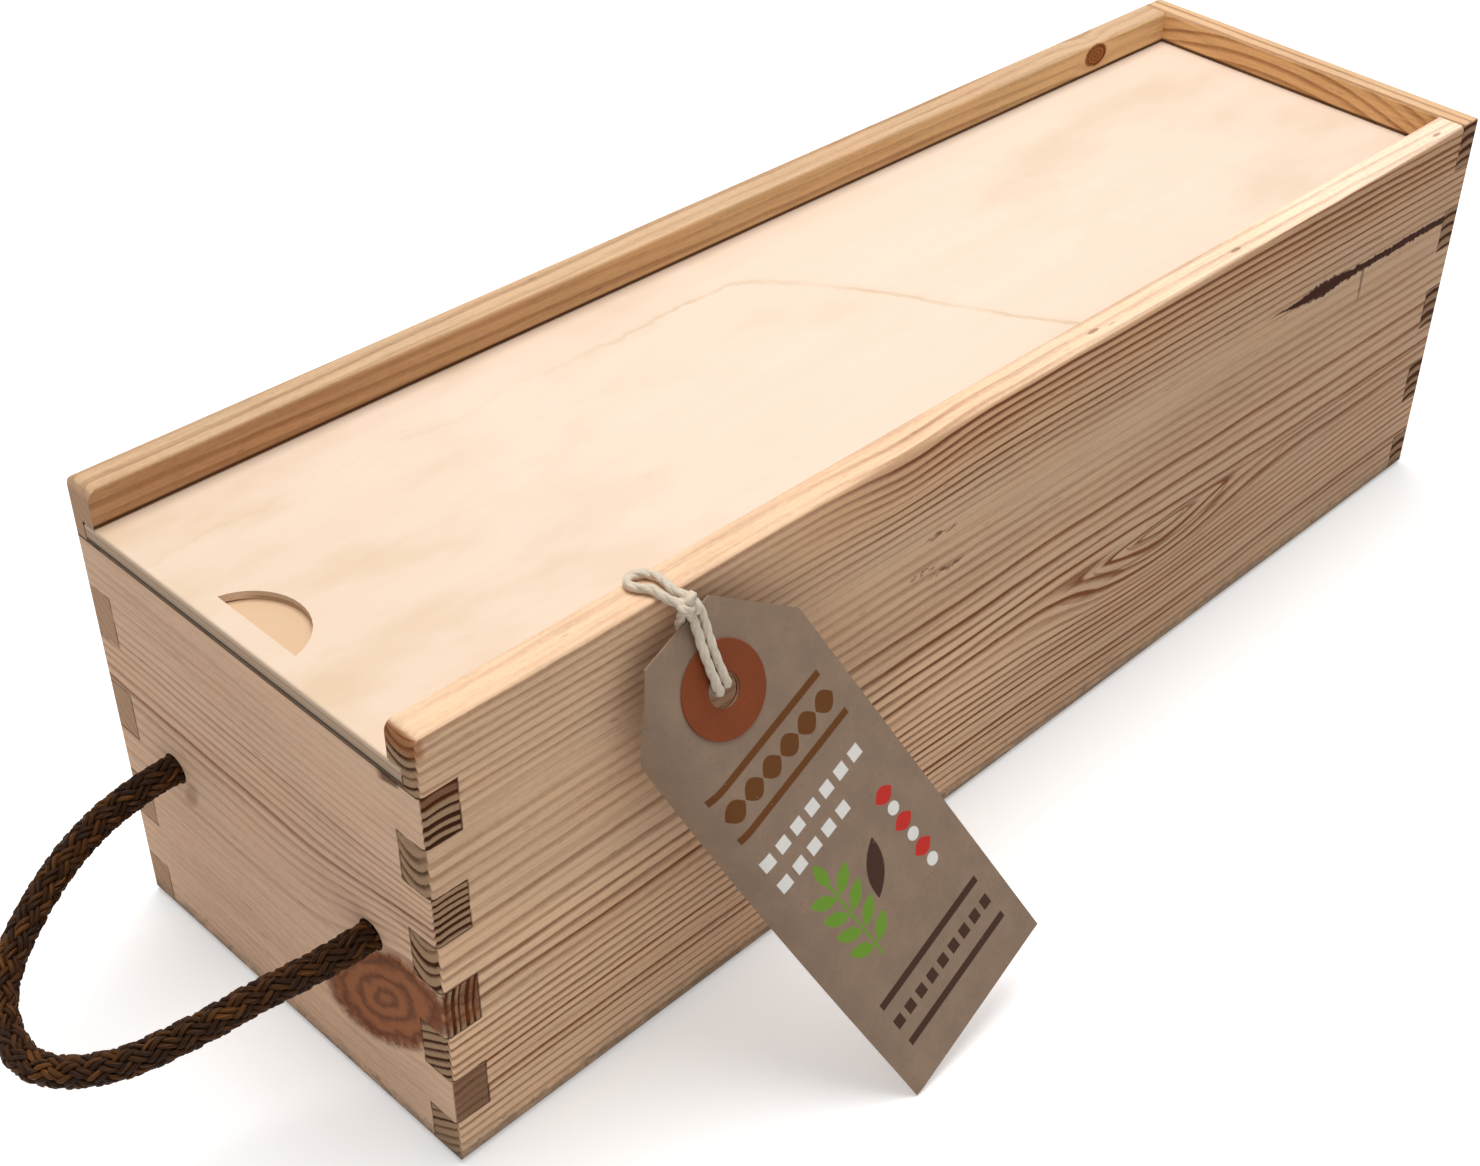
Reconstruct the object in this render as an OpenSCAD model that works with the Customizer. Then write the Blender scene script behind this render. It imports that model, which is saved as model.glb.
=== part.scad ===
// A one-bottle wine box: four pine boards with finger-jointed corners, a
// plywood bottom let into them, a plywood lid that slides out over the front
// board, a braided rope handle knotted through the front board, and a card
// tag hung over the rim on a string.
//
// Millimetres. X is the width, Y the length with the front board at -Y, Z up.
// The origin is the middle of the underside of the box.

/* [Box] */
// Overall length, front face to back face
box_l = 350; // [300:1:420]
// Overall width, side face to side face
box_w = 106; // [100:1:150]
// Overall height, underside to the top of the rim
box_h = 111; // [105:1:118]
// Thickness of the four wall boards
wall_t = 8; // [7:0.5:10]

/* [Corner joints] */
// Height of the top finger, from the top of the front board up to the rim
rim_finger_h = 13; // [11:0.5:16]
// Number of equal fingers under the top one
finger_count = 8; // [4:2:12]

/* [Rounded edges] */
// Radius on the upright corners and along the rim's outer edge
arris_r = 1.2; // [0.5:0.1:2]
// Radius along the rim's inner edge
rim_inner_r = 0.7; // [0.3:0.1:1.5]
// Radius across the open front ends of the rim
rim_end_r = 2.6; // [1:0.1:4]
// Radius along the bottom edges
base_r = 2; // [0.5:0.1:3]
// Radius along the upper front edge of the front board and of the lid
front_top_r = 0.6; // [0.2:0.1:1]

/* [Sliding lid] */
// Thickness of the lid
lid_t = 4; // [3:0.1:5]
// Gap over and under the lid in its groove
lid_play = 0.3; // [0.3:0.1:0.6]
// Gap between the lid's edges and the bottoms of its grooves
lid_edge_play = 0.5; // [0.3:0.1:1]
// Depth of the lid's grooves
lid_groove_depth = 4; // [3:0.5:5]
// Width of the half-moon thumb notch
notch_w = 24; // [16:1:40]
// How far the notch runs back from its straight edge
notch_reach = 9.5; // [6:0.5:14]
// Depth of the notch
notch_depth = 2; // [1:0.1:2.5]
// Distance from the lid's front edge to the notch
notch_setback = 5; // [3:0.5:12]

/* [Bottom] */
// Thickness of the bottom
bottom_t = 4; // [3:0.5:6]
// Height of the bottom's underside over the table
bottom_z = 5; // [3:0.5:8]
// Depth of the grooves that hold the bottom
bottom_groove_depth = 4; // [3:0.5:5]
// Gap between the bottom's edges and the grooves' ends
bottom_edge_play = 0.5; // [0.2:0.1:1]

/* [Rope handle] */
// Diameter of the rope
rope_d = 6.5; // [5:0.5:8]
// Gap between the rope and the wall of its hole, all round
rope_gap = 0.25; // [0.15:0.05:0.5]
// Distance between the two rope holes
rope_spacing = 64; // [58:1:68]
// Height of the rope holes over the table
rope_z = 49.5; // [47:0.5:60]
// Slope of the handle's loop below level
rope_droop = 20; // [0:1:35]
// Gap between the loop's rounded ends and the front board
swing_gap = 0.3; // [0.3:0.1:1]
// Diameter of the knots behind the front board
knot_d = 17; // [15:0.5:20]
// Length of the rope's cut tail past each knot
tail_l = 9; // [4:1:15]

/* [Tag] */
// Width of the tag
tag_w = 45; // [36:1:60]
// Length of the tag
tag_l = 115; // [112:1:122]
// Thickness of the card
tag_t = 0.6; // [0.4:0.1:1]
// Width of the cut corners
tag_corner_w = 13; // [6:1:15]
// Length of the cut corners
tag_corner_l = 17; // [8:1:30]
// Distance from the front of the box to the tag's standing corner
tag_setback = 75; // [60:1:200]
// Angle of the tag's lower edge above the table
tag_rise = 20; // [10:1:30]
// Direction of the tag's lower edge, from the box's width
tag_turn = 96; // [90:1:110]
// Diameter of the fibre rings round the hole
ring_d = 19.5; // [14:0.5:24]
// Thickness of each ring
ring_t = 0.4; // [0.2:0.1:0.8]
// Diameter of the hole
tag_hole_d = 7.2; // [6:0.1:9]
// Distance from the top of the tag to the hole
tag_hole_drop = 15.5; // [14:0.5:24]

/* [String] */
// Diameter of the string
string_d = 2; // [1.5:0.1:2.5]
// Size of the string's knot
string_knot_d = 5.2; // [4:0.1:7]

/* [Hidden] */
$fn = 48;
eps = 0.01;
skin = 1;                       // how far a cutter stands outside what it cuts
half_l = box_l / 2;
half_w = box_w / 2;
inner_w = box_w - 2 * wall_t;
inner_l = box_l - 2 * wall_t;

front_h = box_h - rim_finger_h;
finger_h = front_h / finger_count;

lid_slot_h = lid_t + 2 * lid_play;
lid_z = front_h + lid_play;
lid_w = inner_w + 2 * (lid_groove_depth - lid_edge_play);
lid_back = inner_l / 2 + lid_groove_depth - lid_edge_play;

bottom_w = inner_w + 2 * (bottom_groove_depth - bottom_edge_play);
bottom_l = inner_l + 2 * (bottom_groove_depth - bottom_edge_play);

rope_hole_d = rope_d + 2 * rope_gap;
hinge_y = -half_l - rope_d / 2 - swing_gap;
tube_sides = 10;

// The tag stands on one corner and leans with the near end of its top edge
// against the side board, just under the rim.
lean_gap = 2.6;
stand_gap = 0.2;
lean_drop = 2.9;
touch_x = tag_w - tag_corner_w;
tag_lean = asin(min(1, (box_h - lean_drop - stand_gap - touch_x * sin(tag_rise))
                       / (tag_l * cos(tag_rise))));
tag_angles = [tag_lean, -tag_rise, tag_turn];
touch_at = turned([touch_x, tag_l, 0], tag_angles);
tag_corner = [half_w + lean_gap - touch_at.x, tag_setback - half_l, stand_gap];
hole_at = [tag_w / 2, tag_l - tag_hole_drop];

// The string turns over the rim's outer edge on this line, along Y.
rim_line = [half_w + 0.6, box_h + 0.6];
string_sides = 8;
string_gap = 0.05;
strand_shift = string_d / 2 + 0.1;   // half the distance between the two strands
knot_at = [tag_w / 2 + 4.5, tag_l + string_knot_d / 2 + 0.3, 2.2];
knot_world = tag_corner + turned(knot_at, tag_angles);
rim_cross_y = knot_world.y - 2;

// Route of the handle's loop in its own plane: across the box, then outwards.
rope_loop_route = [
    [-32, 0], [-33.5, 7], [-34, 14], [-33, 22], [-30.5, 30], [-27, 37.5],
    [-22.5, 44.5], [-16.5, 50], [-9, 53], [-1.5, 53.5], [5, 51], [11, 46],
    [15.5, 40], [19, 33], [22, 26], [24.5, 19], [27.5, 12], [30, 6], [32, 0]];

// Route of the string's loop on the rim's top: in from the rim's outer edge,
// and along the rim.
string_loop_route = [
    [1.7, 1.3], [3.5, 1.6], [5.5, 1.3], [7.2, 0.2], [7.9, -1.7],
    [7.1, -3.5], [5.4, -3.8], [3.4, -2.4], [1.7, -1.5]];

// ---- helpers ----------------------------------------------------------------

// Angle list a turns point p as rotate(a) turns a shape.
function turned(p, a) = about_z(about_y(about_x(p, a.x), a.y), a.z);
function about_x(p, a) = [p.x, p.y * cos(a) - p.z * sin(a), p.y * sin(a) + p.z * cos(a)];
function about_y(p, a) = [p.x * cos(a) + p.z * sin(a), p.y, p.z * cos(a) - p.x * sin(a)];
function about_z(p, a) = [p.x * cos(a) - p.y * sin(a), p.x * sin(a) + p.y * cos(a), p.z];

function unit(v) = v / norm(v);

// Direction of travel at each point of a route.
function tangents(p) = [for (i = [0 : len(p) - 1])
    unit(p[min(i + 1, len(p) - 1)] - p[max(i - 1, 0)])];

// A side direction carried along the route without twisting.
function carried(t, side, i = 0) = i == len(t) ? [] :
    let (s = unit(side - (side * t[i]) * t[i])) concat([s], carried(t, s, i + 1));

// Closed tube round a route; radii has one value for each point.
module tube(route, radii, sides, side) {
    t = tangents(route);
    s = carried(t, side);
    n = len(route);
    rings = [for (i = [0 : n - 1]) for (k = [0 : sides - 1])
        let (a = 360 * k / sides, b = cross(t[i], s[i]))
        route[i] + radii[i] * (cos(a) * s[i] + sin(a) * b)];
    walls = [for (i = [0 : n - 2]) for (k = [0 : sides - 1])
        let (j = (k + 1) % sides, a = i * sides, c = (i + 1) * sides)
        each [[a + k, c + k, c + j], [a + k, c + j, a + j]]];
    caps = [[for (k = [0 : sides - 1]) k],
            [for (k = [sides - 1 : -1 : 0]) (n - 1) * sides + k]];
    polyhedron(points = rings, faces = concat(walls, caps), convexity = 6);
}

// Rounded ends for tubes: how far each extra ring stands past the end, and its
// size, both as shares of the tube's radius.
dome_steps = [0.45, 0.75, 0.96];
dome_sizes = [for (d = dome_steps) sqrt(1 - d * d)];

function reversed(v) = [for (i = [len(v) - 1 : -1 : 0]) v[i]];

function last_direction(p) = unit(p[len(p) - 1] - p[len(p) - 2]);

// The route with a dome at its last point, and the radii that go with it.
function domed(p, r) = let (out = last_direction(p))
    concat(p, [for (d = dome_steps) p[len(p) - 1] + d * r * out]);
function domed_radii(p, r) = concat([for (q = p) r], r * dome_sizes);

// Waste outside a rounded edge along X. The edge is at the origin and the wood
// is on the -Y, -Z side of it.
module edge_waste(length, r) {
    difference() {
        translate([-length / 2, -r, -r]) cube([length, r + skin, r + skin]);
        translate([-length / 2 - eps, -r, -r]) rotate([0, 90, 0])
            cylinder(h = length + 2 * eps, r = r);
    }
}

// The same along Y, with the wood on the -X, -Z side.
module edge_waste_y(length, r) {
    rotate([0, 0, -90]) edge_waste(length, r);
}

// All outside edges of the assembled box, and the rim's inner edges.
module rounded_edges() {
    long = box_l + 2 * skin;
    wide = box_w + 2 * skin;
    for (side = [0, 1]) mirror([side, 0, 0]) {
        translate([half_w, 0, box_h]) edge_waste_y(long, arris_r);
        translate([half_w, 0, 0]) mirror([0, 0, 1]) edge_waste_y(long, base_r);
        translate([inner_w / 2, -(wall_t + skin) / 2, box_h]) mirror([1, 0, 0])
            edge_waste_y(box_l - wall_t + skin, rim_inner_r);
        for (end = [0, 1]) mirror([0, end, 0])
            translate([half_w, half_l, box_h / 2]) rotate([0, 90, 0])
                edge_waste(box_h + 2 * skin, arris_r);
    }
    translate([0, half_l, box_h]) edge_waste(wide, arris_r);
    translate([0, inner_l / 2, box_h]) mirror([0, 1, 0]) edge_waste(inner_w, rim_inner_r);
    translate([0, -half_l, box_h]) mirror([0, 1, 0]) edge_waste(wide, rim_end_r);
    for (end = [0, 1]) mirror([0, end, 0])
        translate([0, half_l, 0]) mirror([0, 0, 1]) edge_waste(wide, base_r);
}

module lid_slot() {
    translate([-inner_w / 2 - lid_groove_depth, -half_l - skin, front_h])
        cube([inner_w + 2 * lid_groove_depth, skin + half_l + inner_l / 2 + lid_groove_depth,
              lid_slot_h]);
}

module bottom_slot() {
    translate([-inner_w / 2 - bottom_groove_depth, -inner_l / 2 - bottom_groove_depth, bottom_z])
        cube([inner_w + 2 * bottom_groove_depth, inner_l + 2 * bottom_groove_depth, bottom_t]);
}

// Corner fingers at one end of the box: those of the end board when own is
// true, and of the side boards when it is false. The top finger always belongs
// to the same board as the lowest one.
module corner_blocks(y_face, lowest) {
    for (i = [0 : finger_count - 1])
        if ((i % 2 == 0) == lowest)
            translate([-half_w - skin, y_face, i * finger_h])
                cube([box_w + 2 * skin, wall_t, finger_h]);
    if (lowest)
        translate([-half_w - skin, y_face, front_h])
            cube([box_w + 2 * skin, wall_t, rim_finger_h + skin]);
}

// ---- boards -----------------------------------------------------------------

// Right side board; the left one is its mirror image.
module side_board() {
    difference() {
        union() {
            translate([inner_w / 2, -inner_l / 2, 0]) cube([wall_t, inner_l, box_h]);
            intersection() {
                translate([inner_w / 2, -half_l, 0]) cube([wall_t, box_l, box_h]);
                union() {
                    corner_blocks(-half_l, true);
                    corner_blocks(inner_l / 2, false);
                }
            }
        }
        lid_slot();
        bottom_slot();
        rounded_edges();
    }
}

module right_side() {
    color("#b0936f") side_board();
}

module left_side() {
    color("#b89a74") mirror([1, 0, 0]) side_board();
}

module front_panel() {
    color("#a98c72") difference() {
        union() {
            translate([-inner_w / 2, -half_l, 0]) cube([inner_w, wall_t, front_h]);
            intersection() {
                translate([-half_w, -half_l, 0]) cube([box_w, wall_t, front_h]);
                corner_blocks(-half_l, false);
            }
        }
        for (side = [-1, 1])
            translate([side * rope_spacing / 2, -half_l - skin, rope_z]) rotate([-90, 0, 0])
                cylinder(h = wall_t + 2 * skin, d = rope_hole_d);
        translate([0, -half_l, front_h]) mirror([0, 1, 0]) edge_waste(inner_w, front_top_r);
        bottom_slot();
        rounded_edges();
    }
}

module back_panel() {
    color("#b2926a") difference() {
        union() {
            translate([-inner_w / 2, inner_l / 2, 0]) cube([inner_w, wall_t, box_h]);
            intersection() {
                translate([-half_w, inner_l / 2, 0]) cube([box_w, wall_t, box_h]);
                corner_blocks(inner_l / 2, true);
            }
        }
        lid_slot();
        bottom_slot();
        rounded_edges();
    }
}

module bottom_panel() {
    color("#d8bd92") translate([-bottom_w / 2, -bottom_l / 2, bottom_z])
        cube([bottom_w, bottom_l, bottom_t]);
}

// ---- lid --------------------------------------------------------------------

module thumb_notch() {
    notch_r = (pow(notch_w / 2, 2) + pow(notch_reach, 2)) / (2 * notch_reach);
    straight_edge = -half_l + notch_setback;
    intersection() {
        translate([0, straight_edge + notch_reach - notch_r, lid_z + lid_t - notch_depth])
            cylinder(h = notch_depth + skin, r = notch_r, $fn = 96);
        translate([-notch_r - skin, straight_edge, lid_z])
            cube([2 * notch_r + 2 * skin, notch_r + skin, 2 * lid_t]);
    }
}

module sliding_lid() {
    color("#f3dfc4") difference() {
        translate([-lid_w / 2, -half_l, lid_z]) cube([lid_w, half_l + lid_back, lid_t]);
        thumb_notch();
        translate([0, -half_l, lid_z + lid_t]) mirror([0, 1, 0])
            edge_waste(lid_w + 2 * skin, front_top_r);
    }
}

// ---- rope handle ------------------------------------------------------------

module rope_loop() {
    scale_x = rope_spacing / 64;
    route = [for (p = rope_loop_route)
        [p.x * scale_x, hinge_y - p.y * cos(rope_droop), rope_z - p.y * sin(rope_droop)]];
    r = rope_d / 2;
    flat_side = [0, sin(rope_droop), -cos(rope_droop)];
    color("#3a2816") tube(
        domed(reversed(domed(reversed(route), r)), r),
        concat(reversed(r * dome_sizes), domed_radii(route, r)), tube_sides, flat_side);
}

module rope_end(side) {
    color("#3a2816") translate([side * rope_spacing / 2, -half_l, rope_z]) rotate([-90, 0, 0])
        cylinder(h = wall_t, d = rope_d);
}

module rope_end_left() { rope_end(-1); }
module rope_end_right() { rope_end(1); }

// A pulled-up knot against the board: two turns of the rope round itself, and
// the cut end.
module rope_knot(side) {
    turns = 2;
    turn_step = 0.9 * rope_d;
    color("#3a2816") translate([side * rope_spacing / 2, -inner_l / 2, rope_z]) rotate([-90, 0, 0]) {
        for (i = [0 : turns - 1])
            translate([0, 0, rope_d / 2 + i * turn_step])
                rotate_extrude() translate([(knot_d - rope_d) / 2, 0]) circle(d = rope_d);
        cylinder(h = rope_d + (turns - 1) * turn_step + tail_l, d = rope_d);
    }
}

module rope_knot_left() { rope_knot(-1); }
module rope_knot_right() { rope_knot(1); }

// ---- tag --------------------------------------------------------------------

// Puts what is drawn on the tag's own face where the tag leans. On the tag, X
// runs along its lower edge, Y up its length and Z out of its printed face.
module on_tag() {
    translate(tag_corner) rotate(tag_angles) children();
}

module hang_tag() {
    color("#8c7867") on_tag() difference() {
        linear_extrude(tag_t) polygon([
            [0, 0], [tag_w, 0], [tag_w, tag_l - tag_corner_l], [tag_w - tag_corner_w, tag_l],
            [tag_corner_w, tag_l], [0, tag_l - tag_corner_l]]);
        translate([hole_at.x, hole_at.y, -skin]) cylinder(h = tag_t + 2 * skin, d = tag_hole_d);
    }
}

module tag_ring(z) {
    on_tag() translate([hole_at.x, hole_at.y, z]) difference() {
        cylinder(h = ring_t, d = ring_d);
        translate([0, 0, -skin]) cylinder(h = ring_t + 2 * skin, d = tag_hole_d);
    }
}

module tag_ring_front() {
    color("#8a4a30") tag_ring(tag_t);
}

module tag_ring_back() {
    color("#8a4a30") tag_ring(-ring_t);
}

// ---- string -----------------------------------------------------------------

module string_loop() {
    route = [for (p = string_loop_route)
        [rim_line.x - p.x, rim_cross_y + p.y, box_h + string_d / 2 + string_gap]];
    color("#d9d2c4")
        tube(route, [for (p = route) string_d / 2], string_sides, [0, 0, 1]);
}

// Middle line of one strand on the tag: from the knot down the tag's face,
// through the hole, up its back and over its top edge to the knot.
function strand_on_tag(side) =
    let (front = tag_t + ring_t + string_d / 2 + string_gap,
         back = -ring_t - string_d / 2 - string_gap,
         knot_x = knot_at.x + side * strand_shift,
         hole_x = hole_at.x + side * strand_shift)
    [for (p = [
        [knot_x, knot_at.y - string_knot_d / 2 - 0.45, front],
        [hole_x + 2, (knot_at.y + hole_at.y) / 2, front],
        [hole_x, hole_at.y + 2.6, front],
        [hole_x, hole_at.y + 0.6, front - 1.1],
        [hole_x, hole_at.y + 0.6, back + 1.1],
        [hole_x, hole_at.y + 2.6, back],
        [hole_x + 1.2, (knot_at.y + hole_at.y) / 2, back],
        [knot_x - 1.6, tag_l - 1, back],
        [knot_x - 1, knot_at.y - 0.9 * string_knot_d / 2, back + 0.3]])
        tag_corner + turned(p, tag_angles)];

// Middle line of one strand from the knot up to the rim's outer edge.
function strand_over_rim(side) =
    let (end = [rim_line.x, rim_cross_y, rim_line.y],
         up = unit(end - knot_world),
         beside = side * strand_shift * unit([0, 1, 0] - up.y * up),
         start = knot_world + (string_knot_d / 2 + string_gap) * up + beside)
    [start, start + 0.7 * (end + beside - start), end + [0, side * 1.3, 0]];

module string_legs() {
    r = string_d / 2;
    color("#d9d2c4") for (side = [-1, 1]) {
        on_card = strand_on_tag(side);
        over_rim = strand_over_rim(side);
        tube(on_card, [for (p = on_card) r], string_sides, turned([1, 0, 0], tag_angles));
        tube(domed(over_rim, r), domed_radii(over_rim, r), string_sides, [0, 1, 0]);
    }
}

module string_knot() {
    color("#d9d2c4") translate(knot_world) sphere(d = string_knot_d);
}

// -----------------------------------------------------------------------------

left_side();
right_side();
front_panel();
back_panel();
bottom_panel();
sliding_lid();
rope_loop();
rope_end_left();
rope_end_right();
rope_knot_left();
rope_knot_right();
hang_tag();
tag_ring_front();
tag_ring_back();
string_loop();
string_legs();
string_knot();
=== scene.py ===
"""Dresses a one-bottle wooden wine box: pine boards, plywood, rope, string and card."""

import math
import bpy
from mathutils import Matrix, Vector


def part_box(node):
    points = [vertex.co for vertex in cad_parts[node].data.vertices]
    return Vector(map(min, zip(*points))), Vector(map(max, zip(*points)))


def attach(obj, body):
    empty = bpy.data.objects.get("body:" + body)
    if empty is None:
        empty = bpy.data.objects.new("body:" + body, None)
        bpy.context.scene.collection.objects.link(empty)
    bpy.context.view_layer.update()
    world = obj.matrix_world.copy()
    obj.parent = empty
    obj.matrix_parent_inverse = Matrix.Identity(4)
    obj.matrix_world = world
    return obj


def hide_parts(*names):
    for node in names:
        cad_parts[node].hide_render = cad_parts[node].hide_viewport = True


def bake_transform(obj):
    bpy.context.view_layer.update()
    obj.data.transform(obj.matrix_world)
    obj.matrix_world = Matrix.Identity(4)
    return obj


bl_info = {
    "name": "Wooden wine box",
    "version": (1, 0, 0),
    "blender": (4, 5, 0),
    "location": "3D View > Sidebar > Wine box",
    "description": "Finishes the boards of a wine box and adds its rope handle, tag and string",
    "category": "Object",
}

from functools import partialmethod

import bmesh
import bpy
from bpy.props import FloatProperty, FloatVectorProperty, IntProperty, PointerProperty
from mathutils import Euler, Vector
from mathutils.geometry import delaunay_2d_cdt

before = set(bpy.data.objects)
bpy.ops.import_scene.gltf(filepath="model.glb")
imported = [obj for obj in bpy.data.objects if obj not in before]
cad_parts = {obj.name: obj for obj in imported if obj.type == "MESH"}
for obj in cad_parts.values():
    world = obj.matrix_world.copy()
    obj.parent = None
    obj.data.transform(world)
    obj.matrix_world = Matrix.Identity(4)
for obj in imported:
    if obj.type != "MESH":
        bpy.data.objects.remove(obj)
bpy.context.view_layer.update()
MM = 0.001


def shade(tone, *shares):
    """A colour times one share, or times a share of its own for each of its three parts."""
    return tuple(c * share for c, share in zip(tone, shares * (3 // len(shares))))


def colour(name, description, *paint):
    """A colour setting, from the 0 to 255 values of a paint chart."""
    linear = [c / 12.92 if c <= 0.04045 else ((c + 0.055) / 1.055) ** 2.4
              for c in (value / 255 for value in paint)]
    return FloatVectorProperty(
        name=name, description=description, default=linear, subtype="COLOR", size=3, min=0, max=1
    )


def length(name, description, millimetres):
    return FloatProperty(
        name=name, description=description, default=millimetres * MM, unit="LENGTH", min=0,
        precision=5,
    )


# ---- sizes taken from the frame ----------------------------------------------

FRONT_LOW, FRONT_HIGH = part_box("front_panel")
_, SIDE_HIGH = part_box("right_side")
LID_LOW, LID_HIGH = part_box("sliding_lid")
KNOT_LOW, KNOT_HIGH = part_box("rope_knot_right")
ROPE_LOW, ROPE_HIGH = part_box("rope_end_right")

FRONT_FACE = FRONT_LOW[1]
BOARD = FRONT_HIGH[1] - FRONT_LOW[1]
HALF_WIDTH = SIDE_HIGH[0]
BOX_HEIGHT = SIDE_HIGH[2]
FINGER = FRONT_HIGH[2] / 8
ROPE_DIAMETER = ROPE_HIGH[0] - ROPE_LOW[0]
ROPE_X = (ROPE_HIGH[0] + ROPE_LOW[0]) / 2
ROPE_Z = (ROPE_HIGH[2] + ROPE_LOW[2]) / 2


# ---- settings ----------------------------------------------------------------


class PineSettings(bpy.types.PropertyGroup):
    early: colour("Early wood", "Pale wood between the growth lines", 228, 191, 153)
    side: colour("Right side", "Pale wood of the right side", 231, 196, 164)
    # The rim colour is the top's pale wood with a painted highlight.
    rim_top_with_highlight: colour("Rim", "Fresh pale wood on top of the right rim", 244, 208, 176)
    late: colour("Late wood", "The growth lines", 126, 72, 38)
    end: colour("End grain", "Pale wood where it is cut across", 176, 145, 118)
    end_late: colour("End grain lines", "Growth lines cut across", 62, 32, 12)
    knot: colour("Knot", "Heart of a knot", 160, 92, 46)
    knot_ring: colour("Knot rings", "Dark rings in a knot", 94, 40, 12)
    bark: colour("Bark", "Bark left in a crack", 60, 25, 9)
    # This colour paints a ragged band along the lower edges that is partly dirt and partly painted
    # shade of the rounded edges, and dark specks of dirt.
    bottom_shade_and_grime: colour("Grime", "Rubbed-in dirt along the lower edges", 134, 120, 104)
    # The seam colour paints the dark joint lines, and also painted shadow above the lid, under its
    # front edge and by the groove.
    seam: colour("Seam", "The dark line above the lid and in the joints", 70, 42, 24)


class PlySettings(bpy.types.PropertyGroup):
    face: colour("Face veneer", "Outer veneer of the lid", 236, 215, 195)
    figure: colour("Figure", "Wavy lines in the face veneer", 214, 184, 148)
    edge: colour("Edge", "Outer plies, seen at the edges", 214, 190, 166)
    core: colour("Core", "Inner plies, seen at the edges", 178, 148, 120)
    # This colour paints the glue lines and also painted shade at the foot of the thumb notch.
    glue_line_and_shade: colour("Glue line", "Glue between the plies", 128, 92, 60)
    notch: colour("Thumb notch", "Bare wood in the thumb notch", 222, 186, 150)
    # The gap colour is painted shadow on the lid's front edge.
    gap: colour("Gap", "The dark gap under the lid's front edge", 44, 28, 18)
    veneer: length("Veneer thickness", "Thickness of each outer ply", 1.2)


class RopeSettings(bpy.types.PropertyGroup):
    strands: IntProperty(
        name="Strands each way", description="Strands laid in each direction", default=6, min=2
    )
    yarns: IntProperty(
        name="Yarns", description="Parallel yarns that make one strand", default=2, min=1
    )
    lay: length("Lay length", "Length of one full turn of a strand", 33)
    tail: length("Tail", "Rope past the front board, inside the box", 20)
    turns: FloatProperty(name="Knot turns", description="Turns round the rope", default=2.1, min=1)
    dark: colour("Dark yarn", "Most of the yarns", 38, 20, 8)
    # Golden yarn: partly the filaments' own colour and partly a painted sheen.
    gold_and_sheen: colour("Golden yarn", "Some of the filaments", 156, 98, 42)


class StringSettings(bpy.types.PropertyGroup):
    diameter: length("Diameter", "Diameter of the string", 2)
    lay: length("Lay length", "Length of one full twist", 9)
    plies: IntProperty(name="Plies", description="Threads twisted together", default=3, min=2)
    cotton: colour("Cotton", "Colour of the string", 228, 212, 190)


class TagSettings(bpy.types.PropertyGroup):
    width: length("Width", "Width of the tag", 45)
    height: length("Length", "Length of the tag", 115)
    corner_width: length("Corner width", "Width of the cut corners", 13)
    corner_height: length("Corner height", "Height of the cut corners", 17)
    thickness: length("Thickness", "Thickness of the card", 0.6)
    roll: length("Roll radius", "Radius of the rolled-back edge", 7.5)
    ring: length("Ring diameter", "Outside diameter of the fibre rings", 19.5)
    ring_thickness: length("Ring thickness", "Thickness of each fibre ring", 0.4)
    hole: length("Hole diameter", "Hole for the string", 7.2)
    hole_drop: length("Hole drop", "From the tag's top edge to the hole", 15.5)
    kraft: colour("Kraft card", "Colour of the card", 150, 126, 106)
    fibre: colour("Ring fibre", "Colour of the rings", 130, 62, 26)
    pale_ink: colour("Pale print", "Pale printed dashes and dots", 240, 236, 230)
    dark_ink: colour("Dark print", "Dark printed lines, dashes and leaf", 62, 34, 22)
    brown_ink: colour("Brown print", "Brown printed lines and lozenges", 104, 58, 12)
    red_ink: colour("Red print", "Red printed lozenges", 206, 42, 34)
    leaf_ink: colour("Leaf print", "Printed leaves", 112, 156, 46)


class StageSettings(bpy.types.PropertyGroup):
    floor: colour("Floor", "Colour of the floor", 242, 242, 242)
    softbox: FloatProperty(
        name="Softbox", description="Power of the overhead lamp, in watts", default=13.5, min=0
    )
    fill: FloatProperty(name="Fill", description="Strength of the even light", default=0.42, min=0)


def settings(name):
    return getattr(bpy.context.scene, "wine_box_" + name)


# ---- node arithmetic ---------------------------------------------------------


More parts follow.
